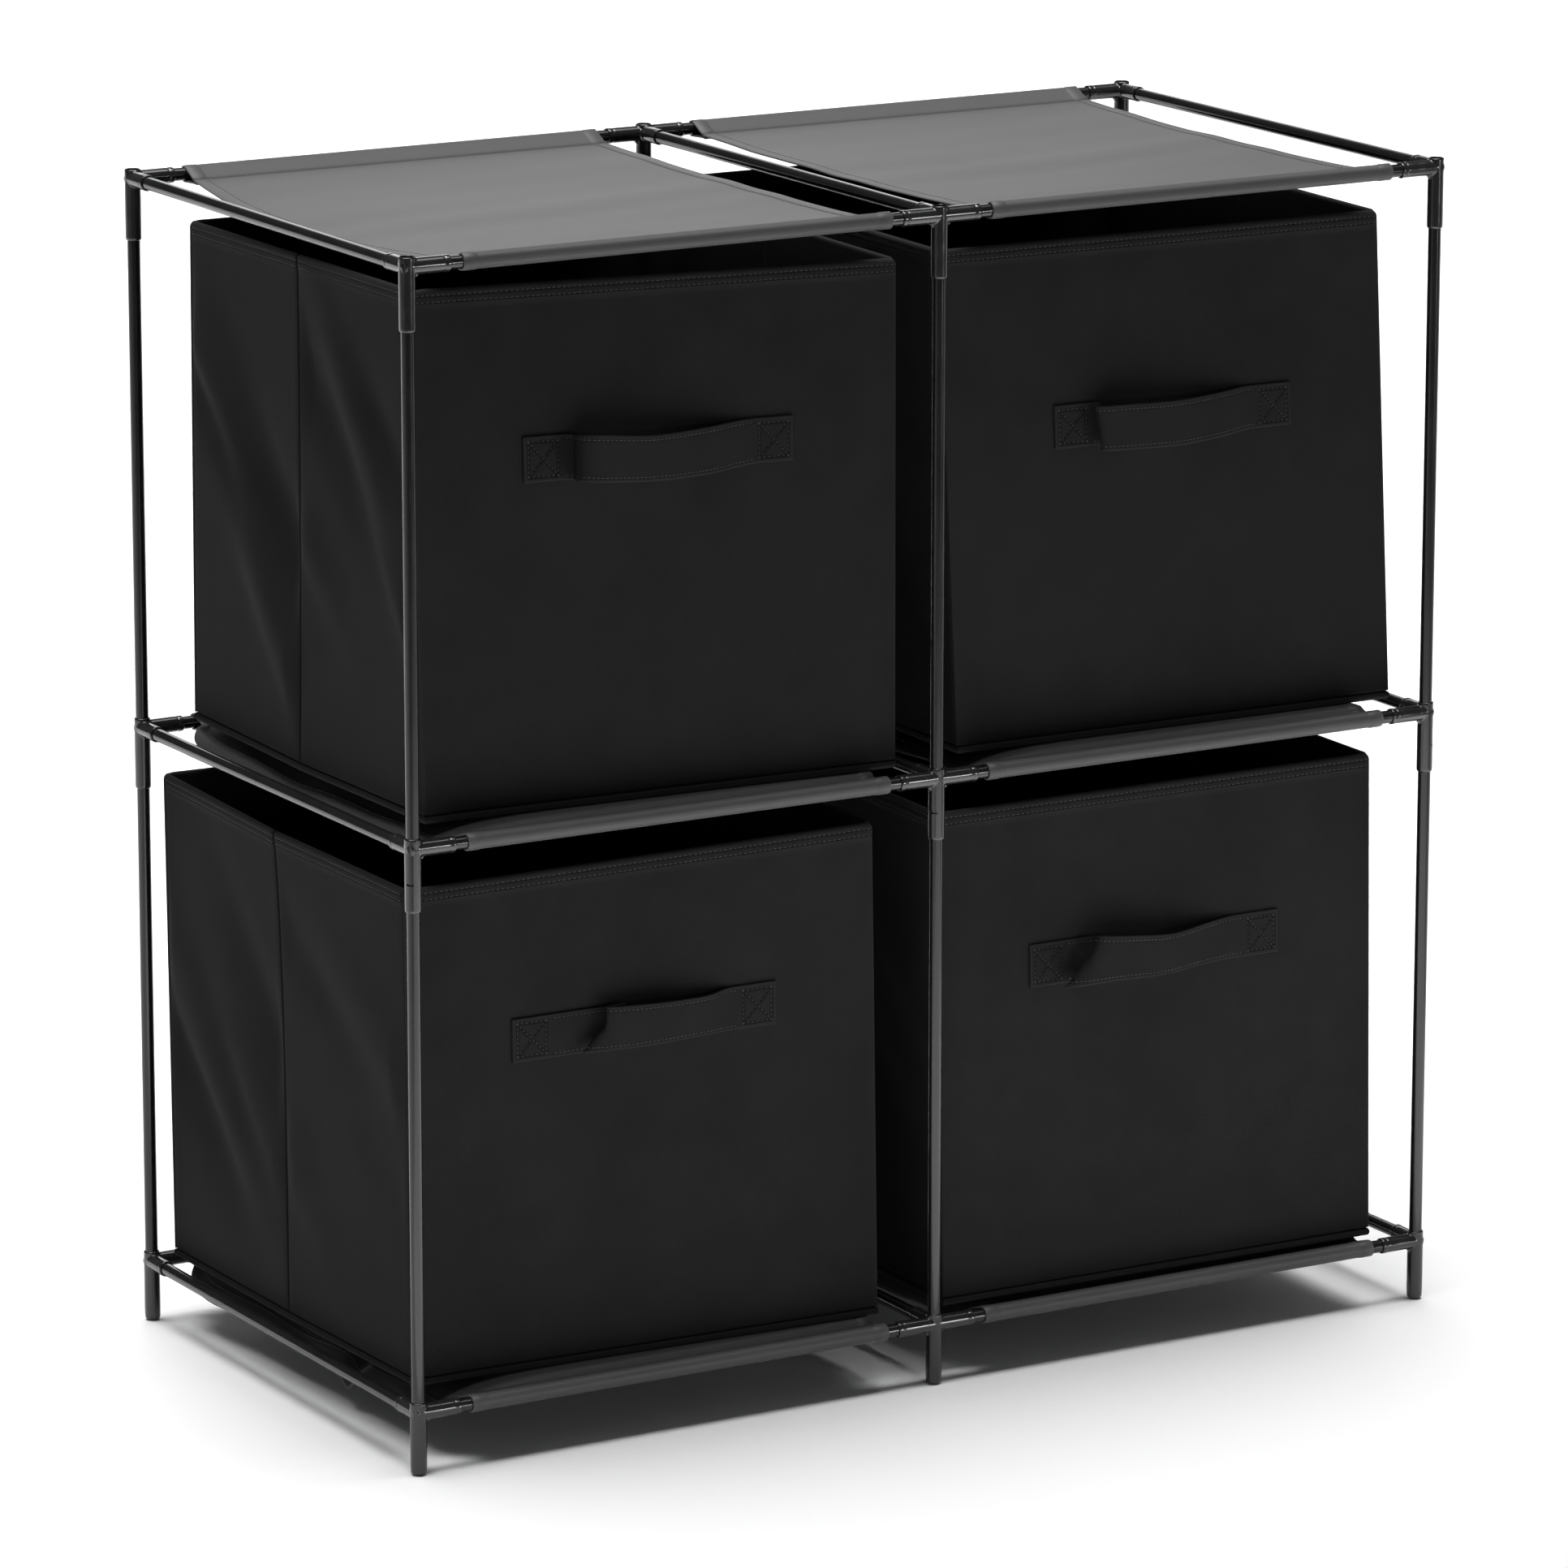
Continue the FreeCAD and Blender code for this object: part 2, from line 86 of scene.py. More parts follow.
class Field:
    """A value or colour inside a material, which Python operators turn into nodes."""

    def __init__(self, shader: "Shader", socket: bpy.types.NodeSocket) -> None:
        """Wrap one output socket.

        Args:
            shader: the material the socket belongs to.
            socket: the output socket.
        """
        self.shader = shader
        self.socket = socket

    def _math(self, operation: str, first: object, second: object) -> "Field":
        """Add a Math node over two values."""
        return self.shader.node("ShaderNodeMath", {"operation": operation}, {0: first, 1: second})

    def __add__(self, other: object) -> "Field":
        """Sum."""
        return self._math("ADD", self, other)

    __radd__ = __add__

    def __mul__(self, other: object) -> "Field":
        """Product."""
        return self._math("MULTIPLY", self, other)

    __rmul__ = __mul__

    def __sub__(self, other: object) -> "Field":
        """Difference."""
        return self._math("SUBTRACT", self, other)

    def __rsub__(self, other: object) -> "Field":
        """Reflected difference."""
        return self._math("SUBTRACT", other, self)

    def sine(self) -> "Field":
        """Sine of the value, in radians."""
        return self.shader.node("ShaderNodeMath", {"operation": "SINE"}, {0: self})

    def between(self, low: float, high: float) -> "Field":
        """Map low..high to 0..1 with a smooth step.

        Args:
            low: the value that becomes 0.
            high: the value that becomes 1.

        Returns:
            The mapped value.
        """
        settings = {"interpolation_type": "SMOOTHSTEP"}
        return self.shader.node("ShaderNodeMapRange", settings, {0: self, 1: low, 2: high})


class Shader:
    """The node tree of one material."""

    def __init__(self, name: str) -> None:
        """Start an empty material.

        Args:
            name: the material's name.
        """
        self.material = bpy.data.materials.new(name)
        self.material.use_nodes = True
        self.tree = self.material.node_tree
        self.tree.nodes.clear()

    def node(
        self,
        kind: str,
        settings: dict[str, object] | None = None,
        inputs: dict[object, object] | None = None,
        output: object = 0,
    ) -> Field:
        """Add a node to the material.

        Args:
            kind: the node's type.
            settings: its properties.
            inputs: socket name or index to a number, a colour or a Field.
            output: name or index of the output to return.

        Returns:
            The chosen output.
        """
        given = {key: v.socket if isinstance(v, Field) else v for key, v in (inputs or {}).items()}
        return Field(self, add_node(self.tree, kind, settings or {}, given).outputs[output])

    def noise(
        self, where: Field, scale: float, detail: float = 2.0, stretch: tuple[float, ...] = (1, 1, 1)
    ) -> Field:
        """Noise between 0 and 1.

        Args:
            where: the coordinates, in metres.
            scale: features per metre.
            detail: octaves of finer noise.
            stretch: scale factors along the three coordinates.

        Returns:
            The noise value.
        """
        mapped = self.node("ShaderNodeMapping", {}, {"Vector": where, "Scale": stretch})
        inputs = {"Vector": mapped, "Scale": scale, "Detail": detail, "Roughness": 0.55}
        return self.node("ShaderNodeTexNoise", {}, inputs)

    def place(self) -> Field:
        """Where a point lies on the piece, in metres."""
        return self.node("ShaderNodeTexCoord", {}, {}, "Object")

    def attribute(self, name: str) -> Field:
        """A number that the mesh carries at each point."""
        return self.node("ShaderNodeAttribute", {"attribute_name": name}, {}, "Fac")

    def blend(self, amount: object, first: object, second: object) -> Field:
        """Mix two colours by an amount."""
        inputs = {MIX_FACTOR: amount, MIX_FIRST: first, MIX_SECOND: second}
        return self.node("ShaderNodeMix", {"data_type": "RGBA"}, inputs, MIX_COLOUR)

    def surface(self, inputs: dict[str, object], bump: Field, depth: float) -> bpy.types.Material:
        """Finish the material with one principled surface.

        Args:
            inputs: socket name to value or Field.
            bump: height between 0 and 1.
            depth: what a height of 1 is, in metres.

        Returns:
            The finished material.
        """
        normal = self.node("ShaderNodeBump", {}, {"Strength": 1.0, "Distance": depth, "Height": bump})
        shaded = self.node("ShaderNodeBsdfPrincipled", {}, {**inputs, "Normal": normal})
        out = self.tree.nodes.new("ShaderNodeOutputMaterial")
        self.tree.links.new(shaded.socket, out.inputs["Surface"])
        return self.material


def grey(level: float, tint: float = 0.0) -> tuple[float, float, float, float]:
    """Neutral colour, slightly cool when tint is above 0."""
    return (level, level * (1 + tint / 2), level * (1 + tint), 1.0)


# ---------------------------------------------------------------- finishes


@dataclass(frozen=True)
class Surface:
    """What every finish has.

    Attributes:
        name: the material's name.
        level: mean grey.
        roughness: mean roughness.
        relief: height of its bumps, in metres.
    """

    name: str
    level: float
    roughness: float
    relief: float

    def material(self) -> bpy.types.Material:
        """Build the material."""
        return self.paint(Shader(self.name))

    def paint(self, shader: Shader) -> bpy.types.Material:
        """Build the finish in an empty material."""
        raise NotImplementedError


@dataclass(frozen=True)
class SpunCloth(Surface):
    """Non-woven cloth with a grid of small pressed points.

    Attributes:
        pitch: distance between pressed points, in metres.
        sheen: weight of the soft sheen of loose fibres.
        specular: strength of the cloth's surface reflection.
        mottled: how uneven the dye is.
        fibres: loose fibres per metre.
        mottles: small uneven patches per metre.
        clouds: large uneven patches per metre.
        rubbed: how much paler a worn border is, 0 to 1.
        shaded: how much darker the painted shade makes the cloth at its fullest, 0 to 1.
    """

    pitch: float = 1.25 * MM
    sheen: float = 0.0
    specular: float = 0.15
    mottled: float = 1.0
    fibres: float = 1500
    mottles: float = 38
    clouds: float = 7
    rubbed: float = 0.3
    shaded: float = 0.8

    def paint(self, shader: Shader) -> bpy.types.Material:
        """Paint with the cloth's own flat coordinates, its wear attribute and its attribute of painted
        shade.

        Args:
            shader: the empty material.

        Returns:
            The finished material.
        """
        flat = shader.node("ShaderNodeUVMap", {"uv_map": "cloth"})
        split = {"Vector": flat}
        across = shader.node("ShaderNodeSeparateXYZ", {}, split, "X")
        up = shader.node("ShaderNodeSeparateXYZ", {}, split, "Y")
        turn = math.pi / self.pitch
        points = ((across + up) * turn).sine() * ((across - up) * turn).sine()
        dimple = points.between(0.1, 0.8)
        place = shader.place()
        fibres = shader.noise(flat, self.fibres, 3, (1.0, 0.35, 1.0))
        mottle = shader.noise(place, self.mottles, 4)
        cloud = shader.noise(place, self.clouds, 2)
        wear = shader.attribute("wear")
        mean = 0.27
        uneven = cloud.between(0.3, 0.7) * 0.25 + mottle.between(0.3, 0.7) * 0.3 - mean
        tone = uneven * self.mottled + mean + fibres * 0.25 - dimple * 0.18
        worn = shader.blend(tone, grey(self.level * 0.68), grey(self.level * 1.42))
        rubbed = shader.blend(wear * self.rubbed, worn, grey(self.level * 2.2 + 0.006))
        # painted shade: the mesh's painted shade darkens the cloth towards a tenth of its grey
        painted_shade = shader.attribute("painted_shade")
        colour = shader.blend(painted_shade * self.shaded, rubbed, grey(self.level * 0.1))
        rough = self.roughness - 0.06 + fibres * 0.12 + mottle * 0.06 - dimple * 0.08
        height = fibres * 0.35 - dimple * 0.65 + mottle * 0.6
        inputs = {
            "Base Color": colour,
            "Roughness": rough,
            "Sheen Weight": self.sheen,
            "Sheen Roughness": 0.45,
            "Specular IOR Level": self.specular,
        }
        return shader.surface(inputs, height, self.relief)


@dataclass(frozen=True)
class MouldedPlastic(Surface):
    """Glossy black injection-moulded plastic with faint flow marks and handling haze."""

    def paint(self, shader: Shader) -> bpy.types.Material:
        """Paint the haze, the grain, the flow marks and the scuffs.

        Args:
            shader: the empty material.

        Returns:
            The finished material.
        """
        place = shader.place()
        haze = shader.noise(place, 140, 4)
        grain = shader.noise(place, 2600, 2)
        flow = shader.noise(place, 60, 2, (1.0, 1.0, 0.25))
        scuffs = shader.noise(place, 420, 5, (1.0, 1.0, 0.2)).between(0.62, 0.74)
        tone = haze * 0.6 + scuffs * 0.4
        colour = shader.blend(tone, grey(self.level * 0.8), grey(self.level * 1.9, 0.06))
        rough = self.roughness - 0.06 + haze.between(0.35, 0.75) * 0.14 + scuffs * 0.18
        inputs = {"Base Color": colour, "Roughness": rough, "Coat Weight": 0.25, "Coat Roughness": 0.12}
        return shader.surface(inputs, grain * 0.3 + flow * 0.9 + scuffs * 0.4, self.relief)


@dataclass(frozen=True)
class PowderCoat(Surface):
    """Semi-gloss black powder coat with a fine orange-peel skin."""

    def paint(self, shader: Shader) -> bpy.types.Material:
        """Paint the orange peel and the marks of handling.

        Args:
            shader: the empty material.

        Returns:
            The finished material.
        """
        place = shader.place()
        peel = shader.noise(place, 900, 2)
        speck = shader.noise(place, 3800, 1)
        handling = shader.noise(place, 24, 4)
        rubbed = shader.noise(place, 300, 5, (1.0, 1.0, 0.12)).between(0.63, 0.75)
        tone = handling.between(0.3, 0.7) * 0.5 + speck * 0.25 + rubbed * 0.25
        colour = shader.blend(tone, grey(self.level * 0.7), grey(self.level * 1.8, 0.05))
        rough = self.roughness - 0.08 + handling * 0.12 + rubbed * 0.12 + speck * 0.05
        inputs = {"Base Color": colour, "Roughness": rough, "Specular IOR Level": 0.48}
        return shader.surface(inputs, peel + speck * 0.25, self.relief)


@dataclass(frozen=True)
class SewingThread(Surface):
    """Black polyester thread, a little shinier than the cloth."""

    def paint(self, shader: Shader) -> bpy.types.Material:
        """Paint the thread and its twist.

        Args:
            shader: the empty material.

        Returns:
            The finished material.
        """
        place = shader.place()
        twist = shader.noise(place, 5200, 1)
        tone = shader.noise(place, 90, 2)
        colour = shader.blend(tone * 0.7 + twist * 0.3, grey(self.level * 0.6), grey(self.level * 1.7))
        inputs = {"Base Color": colour, "Roughness": self.roughness + twist * 0.2, "Sheen Weight": 0.15}
        return shader.surface(inputs, twist, self.relief)


@dataclass(frozen=True)
class StudioFloor(Surface):
    """Matt pale floor with the slightest unevenness."""

    def paint(self, shader: Shader) -> bpy.types.Material:
        """Paint the floor.

        Args:
            shader: the empty material.

        Returns:
            The finished material.
        """
        cloud = shader.noise(shader.place(), 1.2, 2)
        colour = shader.blend(cloud, grey(self.level * 0.99), grey(self.level))
        inputs = {"Base Color": colour, "Roughness": self.roughness, "Specular IOR Level": 0.1}
        return shader.surface(inputs, cloud, self.relief)


class Finish(Enum):
    """The finishes of the unit, one of each."""

    BIN_CLOTH = SpunCloth("black_bin_cloth", 0.011, 0.85, 0.05 * MM)
    SHELF_CLOTH = SpunCloth(
        "satin_shelf_cloth", 0.056, 0.52, 0.03 * MM, sheen=0.1, specular=0.4, mottled=0.35
    )
    PLASTIC = MouldedPlastic("glossy_connector_plastic", 0.012, 0.16, 0.03 * MM)
    STEEL = PowderCoat("black_powder_coat", 0.007, 0.16, 0.035 * MM)
    THREAD = SewingThread("black_thread", 0.03, 0.36, 0.04 * MM)
    # painted shade: a darker copy of the black thread, for stitches that lie sunk in grooves
    SHADED_THREAD = SewingThread("shaded_thread", 0.01, 0.36, 0.04 * MM)
    FLOOR = StudioFloor("pale_floor", 0.86, 0.9, 0.01 * MM)

    def material(self) -> bpy.types.Material:
        """The finish's material, built the first time it is asked for."""
        known = bpy.data.materials.get(self.value.name)
        return known or self.value.material()


# ---------------------------------------------------------------- mesh helpers


def spread(length: float, step: float, edge: float, extra: tuple[float, ...] = ()) -> np.ndarray:
    """Positions along a side of a cloth piece, close together at its rounded ends.

    Args:
        length: the side's length.
        step: the spacing away from the ends.
        edge: the width of the rounded ends.
        extra: more positions to include.

    Returns:
        Sorted positions from 0 to length.
    """
    closest = 0.04 * MM
    ends = edge * np.array([0.0, 0.06, 0.25, 0.55, 1.0])
    count = max(2, round((length - 2 * edge) / step))
    middle = np.linspace(edge, length - edge, count + 1)
    every = np.concatenate([ends, middle, length - ends, np.array(extra, float)])
    every = np.unique(np.round(every, 7))
    keep = np.concatenate([[True], np.diff(every) > closest])
    return every[keep]


def rounding(distance: np.ndarray, edge: float, half: float) -> np.ndarray:
    """Half the thickness of a piece at a distance from its border, falling to 0 in an arc."""
    inward = np.clip(distance / edge, 0, 1)
    return half * np.sqrt(1 - (1 - inward) ** 2)


def smooth(x: np.ndarray, low: float, high: float) -> np.ndarray:
    """Smooth step from 0 at low to 1 at high."""
    t = np.clip((x - low) / (high - low), 0, 1)
    return t * t * (3 - 2 * t)


def groove(distance: np.ndarray, width: float) -> np.ndarray:
    """Bell from 1 at no distance to nearly 0 at twice the width, such as a sewn groove's section."""
    return np.exp(-((distance / width) ** 2))


def from_segment(
    x: np.ndarray, y: np.ndarray, start: tuple[float, float], end: tuple[float, float]
) -> np.ndarray:
    """Distance of points from a straight line between two ends.

    Args:
        x: first coordinate of each point.
        y: second coordinate of each point.
        start: one end of the line.
        end: its other end.

    Returns:
        The distance of each point.
    """
    run = np.array(end) - np.array(start)
    t = np.clip(((x - start[0]) * run[0] + (y - start[1]) * run[1]) / (run @ run), 0, 1)
    return np.hypot(x - start[0] - t * run[0], y - start[1] - t * run[1])


def border_distance(u: np.ndarray, v: np.ndarray) -> np.ndarray:
    """Distance of each grid point from the nearest side of its sheet."""
    return np.minimum(np.minimum(u - u.min(), u.max() - u), np.minimum(v - v.min(), v.max() - v))


def grid_normals(middle: np.ndarray) -> np.ndarray:
    """Unit normals of a grid of points.

    Args:
        middle: the points, shape (n, m, 3).

    Returns:
        The normals, of the same shape.
    """
    along = np.gradient(middle, axis=0)
    across = np.gradient(middle, axis=1)
    normals = np.cross(along, across)
    return normals / np.maximum(np.linalg.norm(normals, axis=2, keepdims=True), 1e-12)


def run_along(points: np.ndarray) -> np.ndarray:
    """Distance run from the first of a line of points to each of them."""
    return np.concatenate([[0], np.cumsum(np.linalg.norm(np.diff(points, axis=0), axis=1))])


def link(name: str, data: bpy.types.ID) -> bpy.types.Object:
    """Put a mesh, a light or a camera in the scene.

    Args:
        name: the object's name.
        data: what it shows.

    Returns:
        The object.
    """
    made = bpy.data.objects.new(name, data)
    bpy.context.scene.collection.objects.link(made)
    return made


def add_object(name: str, mesh: bpy.types.Mesh, finish: Finish) -> bpy.types.Object:
    """Put a finished mesh in the scene, smooth shaded, and report it.

    Args:
        name: the object's name.
        mesh: its mesh.
        finish: its finish.

    Returns:
        The object.
    """
    mesh.name = name
    mesh.polygons.foreach_set("use_smooth", np.ones(len(mesh.polygons), bool))
    mesh.materials.clear()
    mesh.materials.append(finish.material())
    log.info("made %s with %d faces", name, len(mesh.polygons))
    return link(name, mesh)


def cloth_shell(
    name: str,
    middle: np.ndarray,
    half: np.ndarray,
    flat: np.ndarray,
    finish: Finish,
    lift: np.ndarray | None = None,
    painted_shade: np.ndarray | None = None,
) -> bpy.types.Object:
    """Build a closed piece of cloth from the grid of its middle surface.

    Args:
        name: the object's name.
        middle: grid of points, shape (n, m, 3); its normals point outwards.
        half: half thickness at each point, 0 on the border.
        flat: flat cloth coordinates at each point, shape (n, m, 2), in metres.
        finish: the cloth.
        lift: extra height of the outer face alone, such as a hem.
        painted_shade: how dark each point of the outer face is painted, as shade in a groove, a fold, a
            hollow or under a thing, 0 to 1.

    Returns:
        The piece.
    """
    n, m = middle.shape[:2]
    normals = grid_normals(middle)
    raised = half + (0 if lift is None else lift)
    outer = middle + normals * raised[..., None]
    inner = (middle - normals * half[..., None])[1:-1, 1:-1]
    vertices = np.concatenate([outer.reshape(-1, 3), inner.reshape(-1, 3)])
    front = np.arange(n * m).reshape(n, m)
    back = front.copy()
    back[1:-1, 1:-1] = n * m + np.arange((n - 2) * (m - 2)).reshape(n - 2, m - 2)

    def quads(index: np.ndarray, turned: bool) -> np.ndarray:
        """Quads of one face of the shell.

        Args:
            index: the vertex at each point of the grid.
            turned: whether the face looks inwards.

        Returns:
            Four vertices for each quad.
        """
        corners = [index[:-1, :-1], index[1:, :-1], index[1:, 1:], index[:-1, 1:]]
        if turned:
            corners.reverse()
        return np.stack([c.ravel() for c in corners], axis=1)

    faces = np.concatenate([quads(front, False), quads(back, True)])
    mesh = bpy.data.meshes.new(name)
    mesh.from_pydata(vertices.tolist(), [], faces.tolist())
    every = np.concatenate([flat.reshape(-1, 2), flat[1:-1, 1:-1].reshape(-1, 2)])
    corner = np.zeros(len(mesh.loops), np.int32)
    mesh.loops.foreach_get("vertex_index", corner)
    layer = mesh.uv_layers.new(name="cloth")
    layer.data.foreach_set("uv", every[corner].astype(np.float32).ravel())
    worn_width = 2.5 * MM
    rim = 1 - smooth(border_distance(flat[..., 0], flat[..., 1]), 0, worn_width)
    worn = np.concatenate([rim.ravel(), rim[1:-1, 1:-1].ravel()])
    mesh.attributes.new("wear", "FLOAT", "POINT").data.foreach_set("value", worn.astype(np.float32))
    # painted shade: how dark the outer face is painted where shade falls, carried to the material
    if painted_shade is not None:
        deep = np.concatenate([painted_shade.ravel(), np.zeros((n - 2) * (m - 2))])
        mesh.attributes.new("painted_shade", "FLOAT", "POINT").data.foreach_set("value", deep.astype(np.float32))
    return add_object(name, mesh, finish)


def to_mesh(piece: bpy.types.Object) -> bpy.types.Mesh:
    """Turn an object with modifiers into a plain mesh and remove the object.

    Args:
        piece: the object.

    Returns:
        The mesh that its modifiers make.
    """
    bpy.context.view_layer.update()
    evaluated = piece.evaluated_get(bpy.context.evaluated_depsgraph_get())
    mesh = bpy.data.meshes.new_from_object(evaluated)
    piece.modifiers.clear()
    bpy.data.objects.remove(piece)
    return mesh


def curve_through(points: np.ndarray, step: float) -> np.ndarray:
    """A smooth line through points, resampled to even steps.

    Args:
        points: shape (n, k).
        step: distance between the new points.

    Returns:
        The resampled points.
    """
    ends = np.vstack([2 * points[0] - points[1], points, 2 * points[-1] - points[-2]])
    pieces = []
    t = np.linspace(0, 1, 16, endpoint=False)[:, None]
    for a, b, c, d in zip(ends, ends[1:], ends[2:], ends[3:]):
        square, cube = 2 * a - 5 * b + 4 * c - d, 3 * b - a - 3 * c + d
        pieces.append(0.5 * (2 * b + (c - a) * t + square * t**2 + cube * t**3))
    dense = np.vstack([*pieces, points[-1:]])
    run = run_along(dense)
    even = np.linspace(0, run[-1], max(2, round(run[-1] / step)) + 1)
    return np.stack([np.interp(even, run, dense[:, k]) for k in range(dense.shape[1])], axis=1)


# ---------------------------------------------------------------- stitches


@dataclass
class StitchTool:
    """Lays rows of stitches along lines with Geometry Nodes.

    Attributes:
        pitch: distance from one stitch to the next.
        length: length of one stitch.
        radius: radius of the thread.
    """

    pitch: float = 3.1 * MM
    length: float = 2.35 * MM
    radius: float = 0.27 * MM

    def tree(self) -> bpy.types.NodeTree:
        """Build the node tree, with named inputs for its sizes, the first time it is asked for.

        Returns:
            The tree.
        """
        known = bpy.data.node_groups.get("stitch_rows")
        if known:
            return known
        tree = bpy.data.node_groups.new("stitch_rows", "GeometryNodeTree")
        tree.interface.new_socket("Lines", in_out="INPUT", socket_type="NodeSocketGeometry")
        for name in ("Pitch", "Length", "Radius"):
            tree.interface.new_socket(name, in_out="INPUT", socket_type="NodeSocketFloat")
        tree.interface.new_socket("Thread", in_out="INPUT", socket_type="NodeSocketMaterial")
        tree.interface.new_socket("Stitches", in_out="OUTPUT", socket_type="NodeSocketGeometry")

        def add(kind: str, settings: dict[str, object], inputs: dict[object, object]) -> bpy.types.Node:
            """Add a node to this tree."""
            return add_node(tree, kind, settings, inputs)

        given = add("NodeGroupInput", {}, {}).outputs
        lines = add("GeometryNodeMeshToCurve", {}, {"Mesh": given["Lines"]})
        links = {"Curve": lines.outputs[0], "Length": given["Pitch"]}
        spots = add("GeometryNodeCurveToPoints", {"mode": "LENGTH"}, links)
        bead = add("GeometryNodeMeshUVSphere", {}, {"Segments": 6, "Rings": 4, "Radius": 1.0})
        links = {"Vector": spots.outputs["Tangent"]}
        turn = add("FunctionNodeAlignRotationToVector", {"axis": "Z"}, links)
        half = add("ShaderNodeMath", {"operation": "MULTIPLY"}, {0: given["Length"], 1: 0.5})
        links = {"X": given["Radius"], "Y": given["Radius"], "Z": half.outputs[0]}
        size = add("ShaderNodeCombineXYZ", {}, links)
        links = {
            "Points": spots.outputs["Points"],
            "Instance": bead.outputs["Mesh"],
            "Rotation": turn.outputs["Rotation"],
            "Scale": size.outputs[0],
        }
        placed = add("GeometryNodeInstanceOnPoints", {}, links)
        real = add("GeometryNodeRealizeInstances", {}, {"Geometry": placed.outputs[0]})
        links = {"Geometry": real.outputs[0], "Material": given["Thread"]}
        painted = add("GeometryNodeSetMaterial", {}, links)
        add("NodeGroupOutput", {}, {"Stitches": painted.outputs[0]})
        return tree

    def sew(
        self, name: str, rows: list[np.ndarray], body: str, slot: str, thread: Finish = Finish.THREAD
    ) -> bpy.types.Object:
        """Sew several rows that all ride on one body.

        Args:
            name: the object's name.
            rows: each row's points, in metres.
            body: the body that carries the rows.
            slot: not used.
            thread: the thread's finish.

        Returns:
            The stitches.
        """
        vertices = np.vstack(rows)
        edges, start = [], 0
        for row in rows:
            edges += [(start + i, start + i + 1) for i in range(len(row) - 1)]
            start += len(row)
        mesh = bpy.data.meshes.new(name + "_lines")
        mesh.from_pydata(vertices.tolist(), edges, [])
        lines = link(name + "_lines", mesh)
        tree = self.tree()
        modifier = lines.modifiers.new("stitches", "NODES")
        modifier.node_group = tree
        sizes = {"Pitch": self.pitch, "Length": self.length, "Radius": self.radius}
        for item in tree.interface.items_tree:
            if item.in_out == "INPUT" and item.name in sizes:
                modifier[item.identifier] = sizes[item.name]
            if item.in_out == "INPUT" and item.name == "Thread":
                modifier[item.identifier] = thread.material()
        piece = add_object(name, to_mesh(lines), thread)
        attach(piece, body)
        return piece


# ---------------------------------------------------------------- frame


Profile = list[tuple[float, float]]

# Forms of a sleeve's end, as (back from the end, in from the outer radius) in millimetres.
LIPPED_END: Profile = [(3.9, 0.1), (3.6, 0.32), (3.2, 0.32), (2.9, 0), (0.35, 0), (0, 0.3)]
PLAIN_END: Profile = [(1.2, 0), (0.3, 0.2), (0, 0.5)]
FOOT_END: Profile = [(7, 0), (2, 0.15), (1.1, 0.5), (0.3, 1.3), (0, 2.2)]


class Level(Enum):
    """The three levels of the frame."""

    FOOT = "foot"
    MIDDLE = "middle"
    TOP = "top"


def by_level(foot: float, middle: float, top: float) -> dict[Level, float]:
    """A length in millimetres for each level."""
    return {Level.FOOT: foot * MM, Level.MIDDLE: middle * MM, Level.TOP: top * MM}


